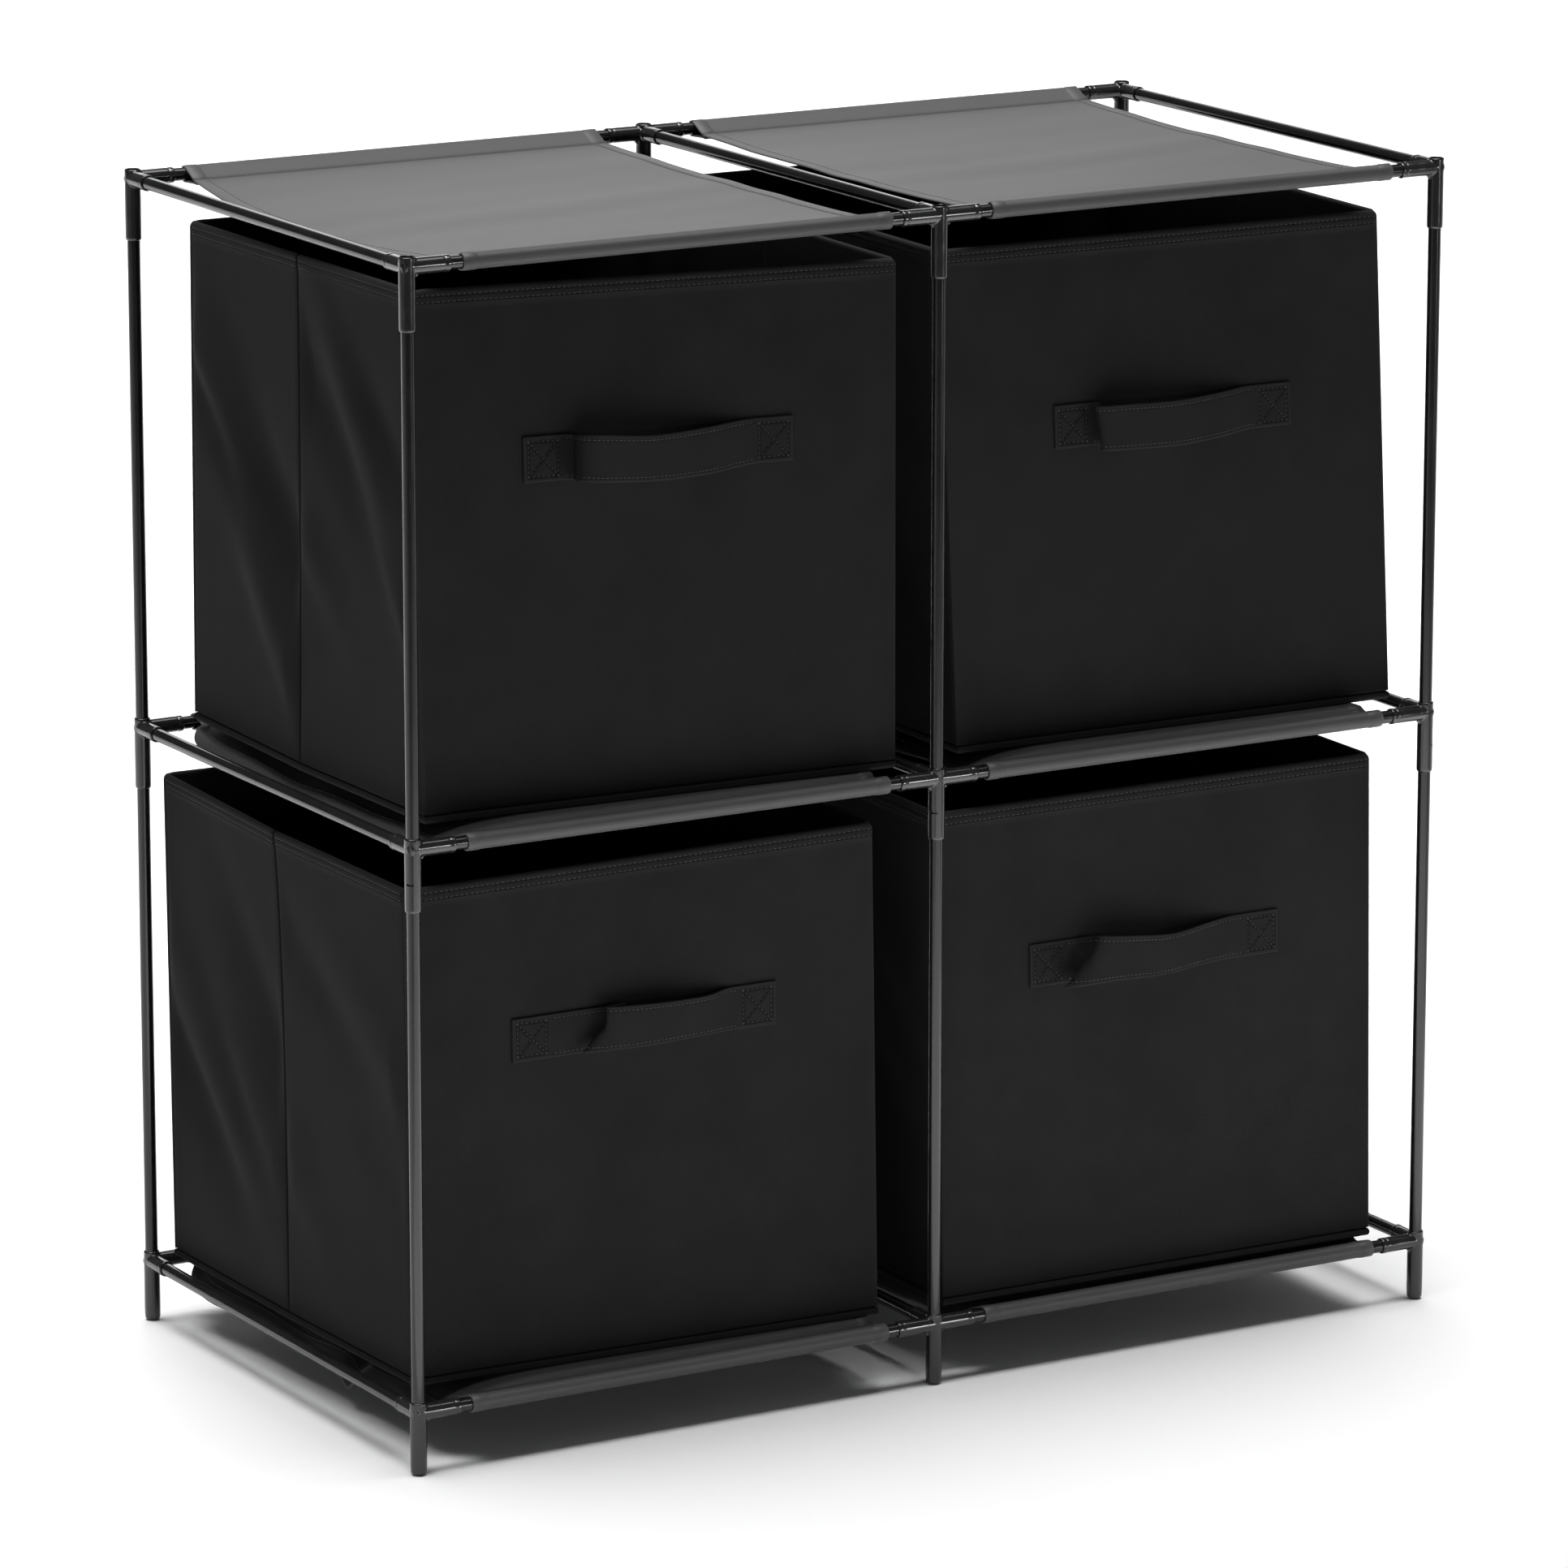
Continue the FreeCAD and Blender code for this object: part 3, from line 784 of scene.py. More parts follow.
@dataclass
class Connector:
    """One moulded connector: sleeves that meet at a crossing.

    Attributes:
        level: which level it belongs to.
        sides: directions of its side sleeves, -1 or 1.
        radius: outer radius of a sleeve.
        bore: radius of a socket.
        side_reach: crossing to the mouth of a side sleeve.
        depth_reach: crossing to the mouth of the depth sleeve.
        drop: crossing to the lower end.
        rise: crossing to the upper end.
        socket: depth of a socket that holds a tube.
        recess: depth of the shallow recess in a top connector's cap.
        dimple: depth of the mouth on top of the others.
        steps: flats round a turned form.
        voxel: size of the steps in which the solids melt together.
        kept: share of the melted faces that is kept.
        sharp: angle past which an edge stays sharp, in degrees.
    """

    level: Level
    sides: tuple[int, ...]
    radius: float = 4.65 * MM
    bore: float = 3.8 * MM
    side_reach: float = 25 * MM
    depth_reach: float = 20 * MM
    drop: float = 35 * MM
    rise: float = 6.15 * MM
    socket: float = 4.5 * MM
    recess: float = 2.6 * MM
    dimple: float = 2.5 * MM
    steps: int = 40
    voxel: float = 0.36 * MM
    kept: float = 0.3
    sharp: float = 38

    def sleeve(self, reach: float, end: Profile, start: float = 0.0, taper: float = 1.0) -> Profile:
        """Profile of a sleeve from near the crossing to its end.

        Args:
            reach: crossing to the end.
            end: its end's form, such as LIPPED_END.
            start: where along the sleeve the profile starts.
            taper: radius at the start, as a share of the sleeve's.

        Returns:
            (distance, radius) pairs in metres.
        """
        tip = [(reach - back * MM, self.radius - inwards * MM) for back, inwards in end]
        return [(start, self.radius * taper), *tip]

    def turned(self, mesh: bmesh.types.BMesh, profile: Profile, way: Vector) -> None:
        """Add a closed turned solid along a direction.

        Args:
            mesh: the mesh to add to.
            profile: (distance, radius) pairs along the direction.
            way: unit direction.
        """
        turn = UP.rotation_difference(way).to_matrix()
        angles = [2 * math.pi * k / self.steps for k in range(self.steps)]
        rings = []
        for distance, radius in profile:
            ring = [Vector((radius * math.cos(a), radius * math.sin(a), distance)) for a in angles]
            rings.append([mesh.verts.new(turn @ point) for point in ring])
        for low, high in zip(rings, rings[1:]):
            for k in range(self.steps):
                after = (k + 1) % self.steps
                mesh.faces.new((low[k], low[after], high[after], high[k]))
        mesh.faces.new(list(reversed(rings[0])))
        mesh.faces.new(rings[-1])

    def solid(self) -> bpy.types.Mesh:
        """Model the whole connector about its own crossing, for the front row.

        Returns:
            The mesh.
        """
        mesh = bmesh.new()
        start, taper = -self.radius * 0.6, 0.97
        for side in self.sides:
            arm = self.sleeve(self.side_reach, LIPPED_END, start, taper)
            self.turned(mesh, arm, Vector((side, 0, 0)))
            self.web(mesh, side)
        arm = self.sleeve(self.depth_reach, LIPPED_END, start, taper)
        self.turned(mesh, arm, Vector((0, 1, 0)))
        low_end = FOOT_END if self.level is Level.FOOT else PLAIN_END
        self.turned(mesh, self.sleeve(self.drop, low_end), -UP)
        top = self.radius if self.level is Level.TOP else self.radius - 0.05 * MM
        cap = [(start, top), (self.rise - 0.5 * MM, top), (self.rise, top - 0.4 * MM)]
        self.turned(mesh, cap, UP)
        plain = bpy.data.meshes.new("connector")
        mesh.to_mesh(plain)
        mesh.free()
        return self.moulded(plain)

    def web(self, mesh: bmesh.types.BMesh, side: int) -> None:
        """Add the small web in the corner under a side sleeve.

        Args:
            mesh: the mesh to add to.
            side: the sleeve's direction, -1 or 1.
        """
        near, low, half = 2 * MM, self.radius + 1.8 * MM, 1.2 * MM
        outline = [(near, -near), (low, -near), (low, -self.radius), (self.radius, -low), (near, -low)]
        front = [mesh.verts.new((side * x, -half, z)) for x, z in outline]
        back = [mesh.verts.new((side * x, half, z)) for x, z in outline]
        if side < 0:
            front, back = back, front
        count = len(outline)
        for k in range(count):
            after = (k + 1) % count
            mesh.faces.new((front[k], back[k], back[after], front[after]))
        mesh.faces.new(front)
        mesh.faces.new(list(reversed(back)))

    def moulded(self, plain: bpy.types.Mesh) -> bpy.types.Mesh:
        """Melt the solids into one with soft inner corners, then open the sockets.

        Args:
            plain: the overlapping solids.

        Returns:
            The moulding.
        """
        body = link("connector", plain)
        remesh = body.modifiers.new("melt", "REMESH")
        remesh.mode = "VOXEL"
        remesh.voxel_size = self.voxel
        soften = body.modifiers.new("soften", "SMOOTH")
        soften.factor = 0.5
        soften.iterations = 4
        thin = body.modifiers.new("thin", "DECIMATE")
        thin.ratio = self.kept
        cutter = self.sockets()
        opened = body.modifiers.new("sockets", "BOOLEAN")
        opened.operation = "DIFFERENCE"
        opened.object = cutter
        opened.solver = "EXACT"
        mesh = to_mesh(body)
        mesh.set_sharp_from_angle(angle=math.radians(self.sharp))
        bpy.data.objects.remove(cutter)
        return mesh

    def sockets(self) -> bpy.types.Object:
        """Model the holes that the tubes stand in.

        Returns:
            One object with a cutter for each hole.
        """
        mesh = bmesh.new()
        r = self.bore

        def hole(reach: float, way: Vector, deep: float) -> None:
            """Cut one blind hole in from a mouth.

            Args:
                reach: crossing to the mouth.
                way: direction of the mouth.
                deep: depth of the hole.
            """
            mouth = [(reach - 0.3 * MM, r), (reach, r + 0.25 * MM), (reach + 1 * MM, r + 0.3 * MM)]
            self.turned(mesh, [(reach - deep, r), *mouth], way)

        for side in self.sides:
            hole(self.side_reach, Vector((side, 0, 0)), self.socket)
        hole(self.depth_reach, Vector((0, 1, 0)), self.socket)
        if self.level is not Level.FOOT:
            hole(self.drop, -UP, self.socket)
        hole(self.rise, UP, self.recess if self.level is Level.TOP else self.dimple)
        if self.level is Level.MIDDLE:
            width, tall, below, bearing = 4 * MM, 1.3 * MM, 19 * MM, math.radians(-48)
            slot = bmesh.ops.create_cube(mesh, size=1.0)["verts"]
            bmesh.ops.scale(mesh, vec=(width, width, tall), verts=slot)
            bmesh.ops.translate(mesh, vec=(0, -self.radius, -below), verts=slot)
            bmesh.ops.rotate(mesh, matrix=Matrix.Rotation(bearing, 3, "Z"), verts=slot)
        cutter = bpy.data.meshes.new("sockets")
        mesh.to_mesh(cutter)
        mesh.free()
        return link("sockets", cutter)


@dataclass
class TubeFrame:
    """Connectors and tubes.

    Attributes:
        column: distance from one column to the next.
        row: distance from the front rails to the back rails.
        heights: rail height of each level.
        drops: how far the connectors of each level reach down.
        rises: how far they reach up.
    """

    column: float = 330 * MM
    row: float = 333 * MM
    heights: dict[Level, float] = field(default_factory=lambda: by_level(35.5, 353.5, 671.5))
    drops: dict[Level, float] = field(default_factory=lambda: by_level(35.5, 35, 35))
    rises: dict[Level, float] = field(default_factory=lambda: by_level(6.15, 6.15, 5.45))

    def build(self) -> None:
        """Make every connector group and dress the tubes."""
        for level, height in self.heights.items():
            end, centre = (
                Connector(level, sides, drop=self.drops[level], rise=self.rises[level]).solid()
                for sides in ((1,), (-1, 1))
            )
            for row_name, row in (("front", -1), ("back", 1)):
                self.group(level, height, row_name, row, end, centre)
        for name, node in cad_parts.items():
            if "rail" in name or "upright" in name:
                node.data.materials.clear()
                node.data.materials.append(Finish.STEEL.material())
                log.info("dressed %s", name)

    def group(
        self,
        level: Level,
        height: float,
        row_name: str,
        row: int,
        end: bpy.types.Mesh,
        centre: bpy.types.Mesh,
    ) -> None:
        """Join the three connectors of one row and level.

        Args:
            level: the level.
            height: its rail height.
            row_name: front or back.
            row: -1 for the front row, 1 for the back row.
            end: the left end connector.
            centre: the middle connector.
        """
        joined = bmesh.new()
        for column in (-1, 0, 1):
            source = (end if column else centre).copy()
            flip_x, flip_y = (-1 if column > 0 else 1), -row
            source.transform(Matrix.Diagonal((flip_x, flip_y, 1, 1)))
            if flip_x * flip_y < 0:
                source.flip_normals()
            source.transform(Matrix.Translation((column * self.column, row * self.row / 2, height)))
            joined.from_mesh(source)
            bpy.data.meshes.remove(source)
        name = f"{level.value}_connectors_{row_name}"
        mesh = bpy.data.meshes.new(name)
        joined.to_mesh(mesh)
        joined.free()
        piece = add_object(f"{name}_moulded", mesh, Finish.PLASTIC)
        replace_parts(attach(piece, "frame"), name)


# ---------------------------------------------------------------- shelves


@dataclass(frozen=True)
class ShelfGrid:
    """Lines of points on a shelf's sheet: one set along the rails, the other round them.

    Attributes:
        across: distance of each line from the left side.
        round: distance of each line from the front hem, round the rails.
        girth: distance from the front hem to the back hem.
        y: where each line round the rails lies in depth.
        z: its height above the rails' axes.
        free: how much it may sag, 0 to 1.
        bulge: how much its sides may bow, 0 to 1.
        left: nearness to the left side, 0 to 1, shape (n, 1).
    """

    across: np.ndarray
    round: np.ndarray
    girth: float
    y: np.ndarray
    z: np.ndarray
    free: np.ndarray
    bulge: np.ndarray
    left: np.ndarray


@dataclass
class Shelf:
    """One cloth shelf, sewn into a pocket around the front rail and one around the back rail.

    Attributes:
        node: the CAD node it stands for.
        centre: middle of the bay along X.
        height: height of the rail axes.
        hung: whether the bare sheet hangs below the rails instead of running over them.
        left_bow: how far the left side bows out to the left at its middle.
        right_bow: the same to the right, below 0 when it is drawn in.
        length: length along the rails.
        row: distance between the rails.
        cloth: thickness of the cloth.
        around: radius of the cloth's middle around a rail.
        seam: distance from a rail's axis to the seam of its pocket.
        rim: width of the cloth's rounded border.
        hem: inner and outer end of the step beside a side hem.
        hem_height: how far a side hem stands up.
        hem_seam: distance of a hem's stitches from the border.
        sag: how far the middle of a hung sheet lies below the seams.
        droop: how far the bowed left side of a loaded sheet hangs down, on average.
        tail: where along Y a corner of the hem hangs lower, or None.
        drawn: how far the back left corner is drawn out along the rail.
        seed: seed of the small unevenness.
    """

    node: str
    centre: float
    height: float
    hung: bool
    left_bow: float
    right_bow: float
    length: float = 266 * MM
    row: float = 333 * MM
    cloth: float = 0.8 * MM
    around: float = 4.3 * MM
    seam: float = 13 * MM
    rim: float = 0.4 * MM
    hem: tuple[float, float] = (7.9 * MM, 8.6 * MM)
    hem_height: float = 0.28 * MM
    hem_seam: float = 6.5 * MM
    sag: float = 3.5 * MM
    droop: float = 12 * MM
    tail: float | None = None
    drawn: float = 0.0
    seed: int = 1

    def profile(self) -> tuple[np.ndarray, np.ndarray]:
        """Cross-section from the front hem round both rails to the back hem.

        Returns:
            Points (y, z) about the middle of the bay, and how much each may sag, 0 to 1.
        """
        r, half = self.around, self.row / 2
        seam_height = -2.2 * MM if self.hung else 0.3 * MM
        level = seam_height if self.hung else r - 0.1 * MM
        angles = np.radians(np.linspace(-70, -270 if self.hung else -289, 23))
        wrap = np.stack([-half + r * np.cos(angles), r * np.sin(angles)], axis=1)
        at = -half + self.seam
        low = np.array([[at + 3 * MM, seam_height - 1.5 * MM], [at, seam_height - 1.2 * MM]])
        lead = np.linspace(low[1], wrap[0], 6)[1:-1]
        out = np.linspace(wrap[-1], np.array([at, seam_height]), 6)[1:]
        front = np.vstack([low, lead, wrap, out])
        back = front[::-1] * np.array([-1, 1])
        span = np.linspace(-half + self.seam, half - self.seam, 90)[1:-1]
        rise = smooth(half - self.seam - np.abs(span), -0.6 * MM, 4.5 * MM)
        middle = np.stack([span, seam_height + (level - seam_height) * rise], axis=1)
        free = 1 - (span / (half - self.seam)) ** 2
        slack = np.concatenate([np.zeros(len(front)), free, np.zeros(len(back))])
        return np.vstack([front, middle, back]), slack

    def grid(self) -> ShelfGrid:
        """Lay out the lines of points.

        Returns:
            The grid.
        """
        section, slack = self.profile()
        run = run_along(section)
        around = spread(run[-1], 2.4 * MM, self.rim)
        y, z, free = (np.interp(around, run, part) for part in (section[:, 0], section[:, 1], slack))
        folds = (8 * MM, 8.6 * MM)
        across = spread(self.length, 4.5 * MM, self.rim, (*folds, *(self.length - f for f in folds)))
        bulge = free if self.hung else 1 - (1 - free) ** 10
        left = np.clip((1 - (across[:, None] / self.length * 2 - 1)) / 2, 0, 1)
        return ShelfGrid(across, around, run[-1], y, z, free, bulge, left)

    def middle(self, grid: ShelfGrid) -> np.ndarray:
        """Sag, bow and ripple the sheet.

        Args:
            grid: the lines of points.

        Returns:
            The sheet's middle surface, shape (n, m, 3).
        """
        rng = np.random.default_rng(self.seed)
        y, left, bulge = grid.y, grid.left, grid.bulge
        a = grid.across[:, None] / self.length * 2 - 1
        depth = self.sag if self.hung else 0.5 * MM
        edge_drop = 1 - 0.65 * a**2 + self.left_bow / (7 * MM) * left**6
        long_wave, short_wave, circle = 9.5, 23, 6.3
        wave = 1 - 0.12 * np.cos((y / self.row + 0.26) * long_wave)
        wave = wave + 0.08 * np.sin(y / self.row * short_wave)
        if self.tail is not None:
            wave = wave + 0.5 * groove(y - self.tail, 8 * MM)
        hang = 0.0 if self.hung else self.droop * wave[None, :] * left**14
        turns = grid.round[None, :] / grid.girth
        ripple = sum(
            rng.uniform(0.1, 0.35) * MM
            * np.sin(waves * turns * circle + rng.uniform(0, 6) + a * rng.uniform(-2, 2))
            for waves in (2, 3, 5, 8)
        )
        x = self.centre + grid.across[:, None] - self.length / 2
        x = x - self.left_bow * bulge * left**2 + self.right_bow * bulge * (1 - left) ** 2
        x = x - self.drawn * smooth(left, 0.6, 1) * smooth(y, 0, self.row / 2)[None, :]
        lowered = grid.z[None, :] - depth * edge_drop * grid.free[None, :] - hang * bulge[None, :]
        lowered = lowered + ripple * grid.free[None, :] * (0.6 if self.hung else 0.25)
        return np.stack([x, np.broadcast_to(y[None, :], x.shape), self.height + lowered], axis=2)

    def tint(self, grid: ShelfGrid) -> np.ndarray:
        """Paint shade on the seams, on the drooped left side of a loaded sheet and on what lies in the
        shade of a bin; darken the cloth round the rails.

        Args:
            grid: the lines of points.

        Returns:
            How dark the painted shade makes each point, 0 to 1.
        """
        y = grid.y
        behind = y + self.row / 2 - self.seam
        to_seam = np.minimum(np.abs(behind), np.abs(y - self.row / 2 + self.seam))
        # painted shade along the stitched pocket seams
        dark = groove(to_seam[None, :], 1.2 * MM)
        if not self.hung:
            # painted shade under the drooped left side of a loaded sheet, and painted shadow of the bin
            # on the band behind the front rail
            dark = dark + 1.25 * smooth(grid.left, 0.82, 0.95) * grid.bulge[None, :]
            past_bin = smooth(behind, 12 * MM, 26 * MM)
            dark = dark + 0.9 * smooth(behind, -8.5 * MM, -4 * MM) * (1 - past_bin)
        wrapped = 0.3 * smooth(np.abs(y) - self.row / 2 + self.seam, -0.5 * MM, 1.5 * MM)
        return np.broadcast_to(np.clip(dark + wrapped[None, :], 0, 1), (len(grid.across), len(y)))

    def build(self) -> None:
        """Make the sheet and its stitches."""
        grid = self.grid()
        middle = self.middle(grid)
        side = np.minimum(grid.across, self.length - grid.across)[:, None]
        distance = np.minimum(side, np.minimum(grid.round, grid.girth - grid.round)[None, :])
        half = rounding(distance, self.rim, self.cloth / 2)
        hem = self.hem_height * (1 - smooth(side, *self.hem)) * smooth(distance, 0, self.rim)
        flat = np.stack(np.broadcast_arrays(grid.across[:, None], grid.round[None, :]), axis=2)
        # painted shade of the sheet
        tint = self.tint(grid)
        sheet = cloth_shell(self.node + "_cloth", middle, half, flat, Finish.SHELF_CLOTH, hem, tint)
        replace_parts(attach(sheet, "frame"), self.node)
        rows = self.rows(grid, middle, half + hem)
        stitches = StitchTool().sew(self.node + "_stitches", rows, "frame", "shelf_cloth")
        rails = self.node.split("_")[0] + "_rails"
        log.info("%s takes %.0f by %.0f mm of cloth", sheet.name, self.length / MM, grid.girth / MM)

    def rows(self, grid: ShelfGrid, middle: np.ndarray, half: np.ndarray) -> list[np.ndarray]:
        """Lines of stitches: one along each pocket seam and one along each side hem.

        Args:
            grid: the lines of points.
            middle: the sheet's middle surface.
            half: how far its outer face lies from the middle.

        Returns:
            The points of each row.
        """
        outer = middle + grid_normals(middle) * half[..., None]
        y, far_off = middle[0, :, 1], 1e3
        past_front = far_off * (grid.round < grid.girth * 0.1)
        past_back = far_off * (grid.round > grid.girth * 0.9)
        near = int(np.argmin(np.abs(y + self.row / 2 - self.seam) + past_front))
        far = int(np.argmin(np.abs(y - self.row / 2 + self.seam) + past_back))
        left = int(np.argmin(np.abs(grid.across - self.hem_seam)))
        right = int(np.argmin(np.abs(grid.across - self.length + self.hem_seam)))
        inside = slice(2, -2)
        return [outer[inside, near], outer[inside, far], outer[left, near:far], outer[right, near:far]]


# ---------------------------------------------------------------- bins


@dataclass(frozen=True)
class Crease:
    """A soft slanting fold in the cloth of a wall.

    Attributes:
        along: its middle along the wall.
        up: its middle above the wall's foot.
        lean: its lean from upright, in degrees.
        length: half its length.
        width: half its width.
        height: how far it stands out, below 0 for a hollow.
    """

    along: float
    up: float
    lean: float
    length: float
    width: float
    height: float

    def depth(self, u: np.ndarray, v: np.ndarray) -> np.ndarray:
        """How far the crease moves the cloth.

        Args:
            u: distance of each point along the wall.
            v: its height above the wall's foot.

        Returns:
            The distance outwards at each point.
        """
        a = math.radians(self.lean)
        side = (u - self.along) * math.cos(a) + (v - self.up) * math.sin(a)
        run = (v - self.up) * math.cos(a) - (u - self.along) * math.sin(a)
        return self.height * np.exp(-((side / self.width) ** 2) - (run / self.length) ** 2)


@dataclass(frozen=True)
class Settle:
    """How a loose bin has settled out of square.

    Attributes:
        low: lower corner of the square bin.
        high: upper corner of the square bin.
        corners: how far each corner has moved, indexed left/right, front/back, foot/rim.
        push: how far the left middle fold has moved sideways, at the foot and at the rim.
    """

    low: np.ndarray
    high: np.ndarray
    corners: np.ndarray
    push: tuple[float, float]

    def move(self, points: np.ndarray) -> np.ndarray:
        """Move points of the square bin to where they have settled.

        Args:
            points: the points, with x, y, z last.

        Returns:
            The moved points.
        """
        share = np.clip((points - self.low) / (self.high - self.low), 0, 1)[..., None]
        x, y, z = share[..., 0, :], share[..., 1, :], share[..., 2, :]
        moved = np.array(points, float)
        for i, across in enumerate((1 - x, x)):
            for j, along in enumerate((1 - y, y)):
                for k, up in enumerate((1 - z, z)):
                    moved = moved + across * along * up * self.corners[i, j, k]
        tent = (1 - np.abs(2 * y - 1)) * (1 - x)
        side = tent * (self.push[0] * (1 - z) ** 2 + self.push[1] * z**4)
        return moved + side * np.array([1.0, 0.0, 0.0])


@dataclass
class Wall:
    """A stiffening board between two layers of cloth, hemmed along the rim.

    Attributes:
        node: the CAD node it stands for.
        body: the body it rides on.
        corner: lower corner of the middle surface.
        along: unit direction along the wall, so that along x up points outwards.
        width: its width.
        height: its height.
        settled: how the bin has settled.
        creases: soft folds in the cloth.
        thickness: board and cloth together.
        round_top: which upper corners are rounded off, at the start and at the end.
        hem: width of the turned hem at the rim.
        stitched: depth of the two stitch lines below the rim.
        fold: where along the wall its middle fold is, if it has one.
        edge: width of the rounded border.
        calm: width of the border that the creases die out in.
    """

    node: str
    body: str
    corner: np.ndarray
    along: np.ndarray
    width: float
    height: float
    settled: Settle
    creases: tuple[Crease, ...] = ()
    thickness: float = 3 * MM
    round_top: tuple[float, float] = (4 * MM, 4 * MM)
    hem: float = 8.4 * MM
    stitched: tuple[float, float] = (3.5 * MM, 7.2 * MM)
    fold: float | None = None
    edge: float = 1.9 * MM
    calm: float = 12 * MM

    def place(self, u: np.ndarray, v: np.ndarray, out: np.ndarray | float = 0.0) -> np.ndarray:
        """Points of the settled wall.

        Args:
            u: distance along the wall.
            v: height above its foot.
            out: distance outwards from the middle surface.

        Returns:
            The points, with the creases in them.
        """
        outwards = np.cross(self.along, [0, 0, 1])
        stand = out + sum((c.depth(u, v) for c in self.creases), np.zeros(np.broadcast(u, v).shape))
        inwards = np.minimum(np.minimum(u, self.width - u), np.minimum(v, self.height - v))
        stand = stand - (stand - out) * (1 - smooth(inwards, 0, self.calm))
        flat = self.corner + u[..., None] * self.along + v[..., None] * np.array([0, 0, 1.0])
        return self.settled.move(flat + stand[..., None] * outwards)

    def rounded(self, u: np.ndarray, v: np.ndarray) -> tuple[np.ndarray, np.ndarray]:
        """Draw the upper corners in to quarter circles.

        Args:
            u: distance of each point along the wall.
            v: its height above the wall's foot.

        Returns:
            The moved u and v.
        """
        for radius, start, way in zip(self.round_top, (0.0, self.width), (1.0, -1.0)):
            a = np.clip(1 - (u - start) * way / radius, 0, 1)
            b = np.clip(1 - (self.height - v) / radius, 0, 1)
            inside = (a > 0) & (b > 0)
            shrink = np.where(inside, np.maximum(a, b) / np.maximum(np.hypot(a, b), 1e-9), 1)
            u = np.where(inside, start + way * radius * (1 - a * shrink), u)
            v = np.where(inside, self.height - radius * (1 - b * shrink), v)
        return u, v

    def tint(self, u: np.ndarray, v: np.ndarray, sewn: np.ndarray) -> np.ndarray:
        """Paint shade along the stitch lines, the middle fold, the foot and in the hollows of the
        creases.

        Args:
            u: distance of each point along the wall.
            v: its height above the wall's foot.
            sewn: depth of the sewn grooves, 0 to 1.

        Returns:
            How dark the painted shade makes each point, 0 to 1.
        """
        deep, foot_width = 5 * MM, 9 * MM
        # painted shade: the middle fold, the foot and the crease hollows are darkened, as are the stitch
        # lines
        folded = 0.0 if self.fold is None else 1 - smooth(np.abs(u - self.fold), 1 * MM, 2.6 * MM)
        foot = 0.75 * groove(v, foot_width)
        hollow = sum((-c.depth(u, v) for c in self.creases if c.height < 0), np.zeros(u.shape))
        shaded = 0.55 * np.clip(hollow / deep, 0, 1)
        return np.maximum(np.maximum(sewn, folded), np.maximum(foot, shaded))

    def build(self) -> list[np.ndarray]:
        """Make the wall.

        Returns:
            The stitch lines along its hem.
        """
        step, raised, pressed = 0.3 * MM, 0.5 * MM, 0.4 * MM
        hem = self.height - self.hem
        us = spread(self.width, 4.5 * MM, self.edge)
        lines = [self.height - down for down in self.stitched]
        beside = [line + off * MM for line in lines for off in (-0.7, -0.35, 0, 0.35, 0.7)]
        vs = spread(self.height, 5 * MM, self.edge, (hem - step, hem + step, *beside))
        u, v = np.meshgrid(us, vs, indexing="ij")
        distance = border_distance(u, v)
        half = rounding(distance, self.edge, self.thickness / 2)
        inside = smooth(distance, 0, self.edge)
        sewn = sum(groove(v - line, 0.45 * MM) for line in lines) * inside
        lift = raised * smooth(v, hem - step, hem + step) * inside - pressed * sewn
        flat = np.stack([u, v], axis=2)
        middle = self.place(*self.rounded(u, v))
        # painted shade of the wall
        tint = self.tint(u, v, sewn)
        piece = cloth_shell(self.node + "_cloth", middle, half, flat, Finish.BIN_CLOTH, lift, tint)
        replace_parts(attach(piece, self.body), self.node)
        inset, proud = 3 * MM, 0.12 * MM
        along = np.linspace(inset, self.width - inset, 60)
        skin = self.thickness / 2 + proud
        return [self.place(along, np.full_like(along, line), skin) for line in lines]


Points = tuple[tuple[float, float, float], ...]


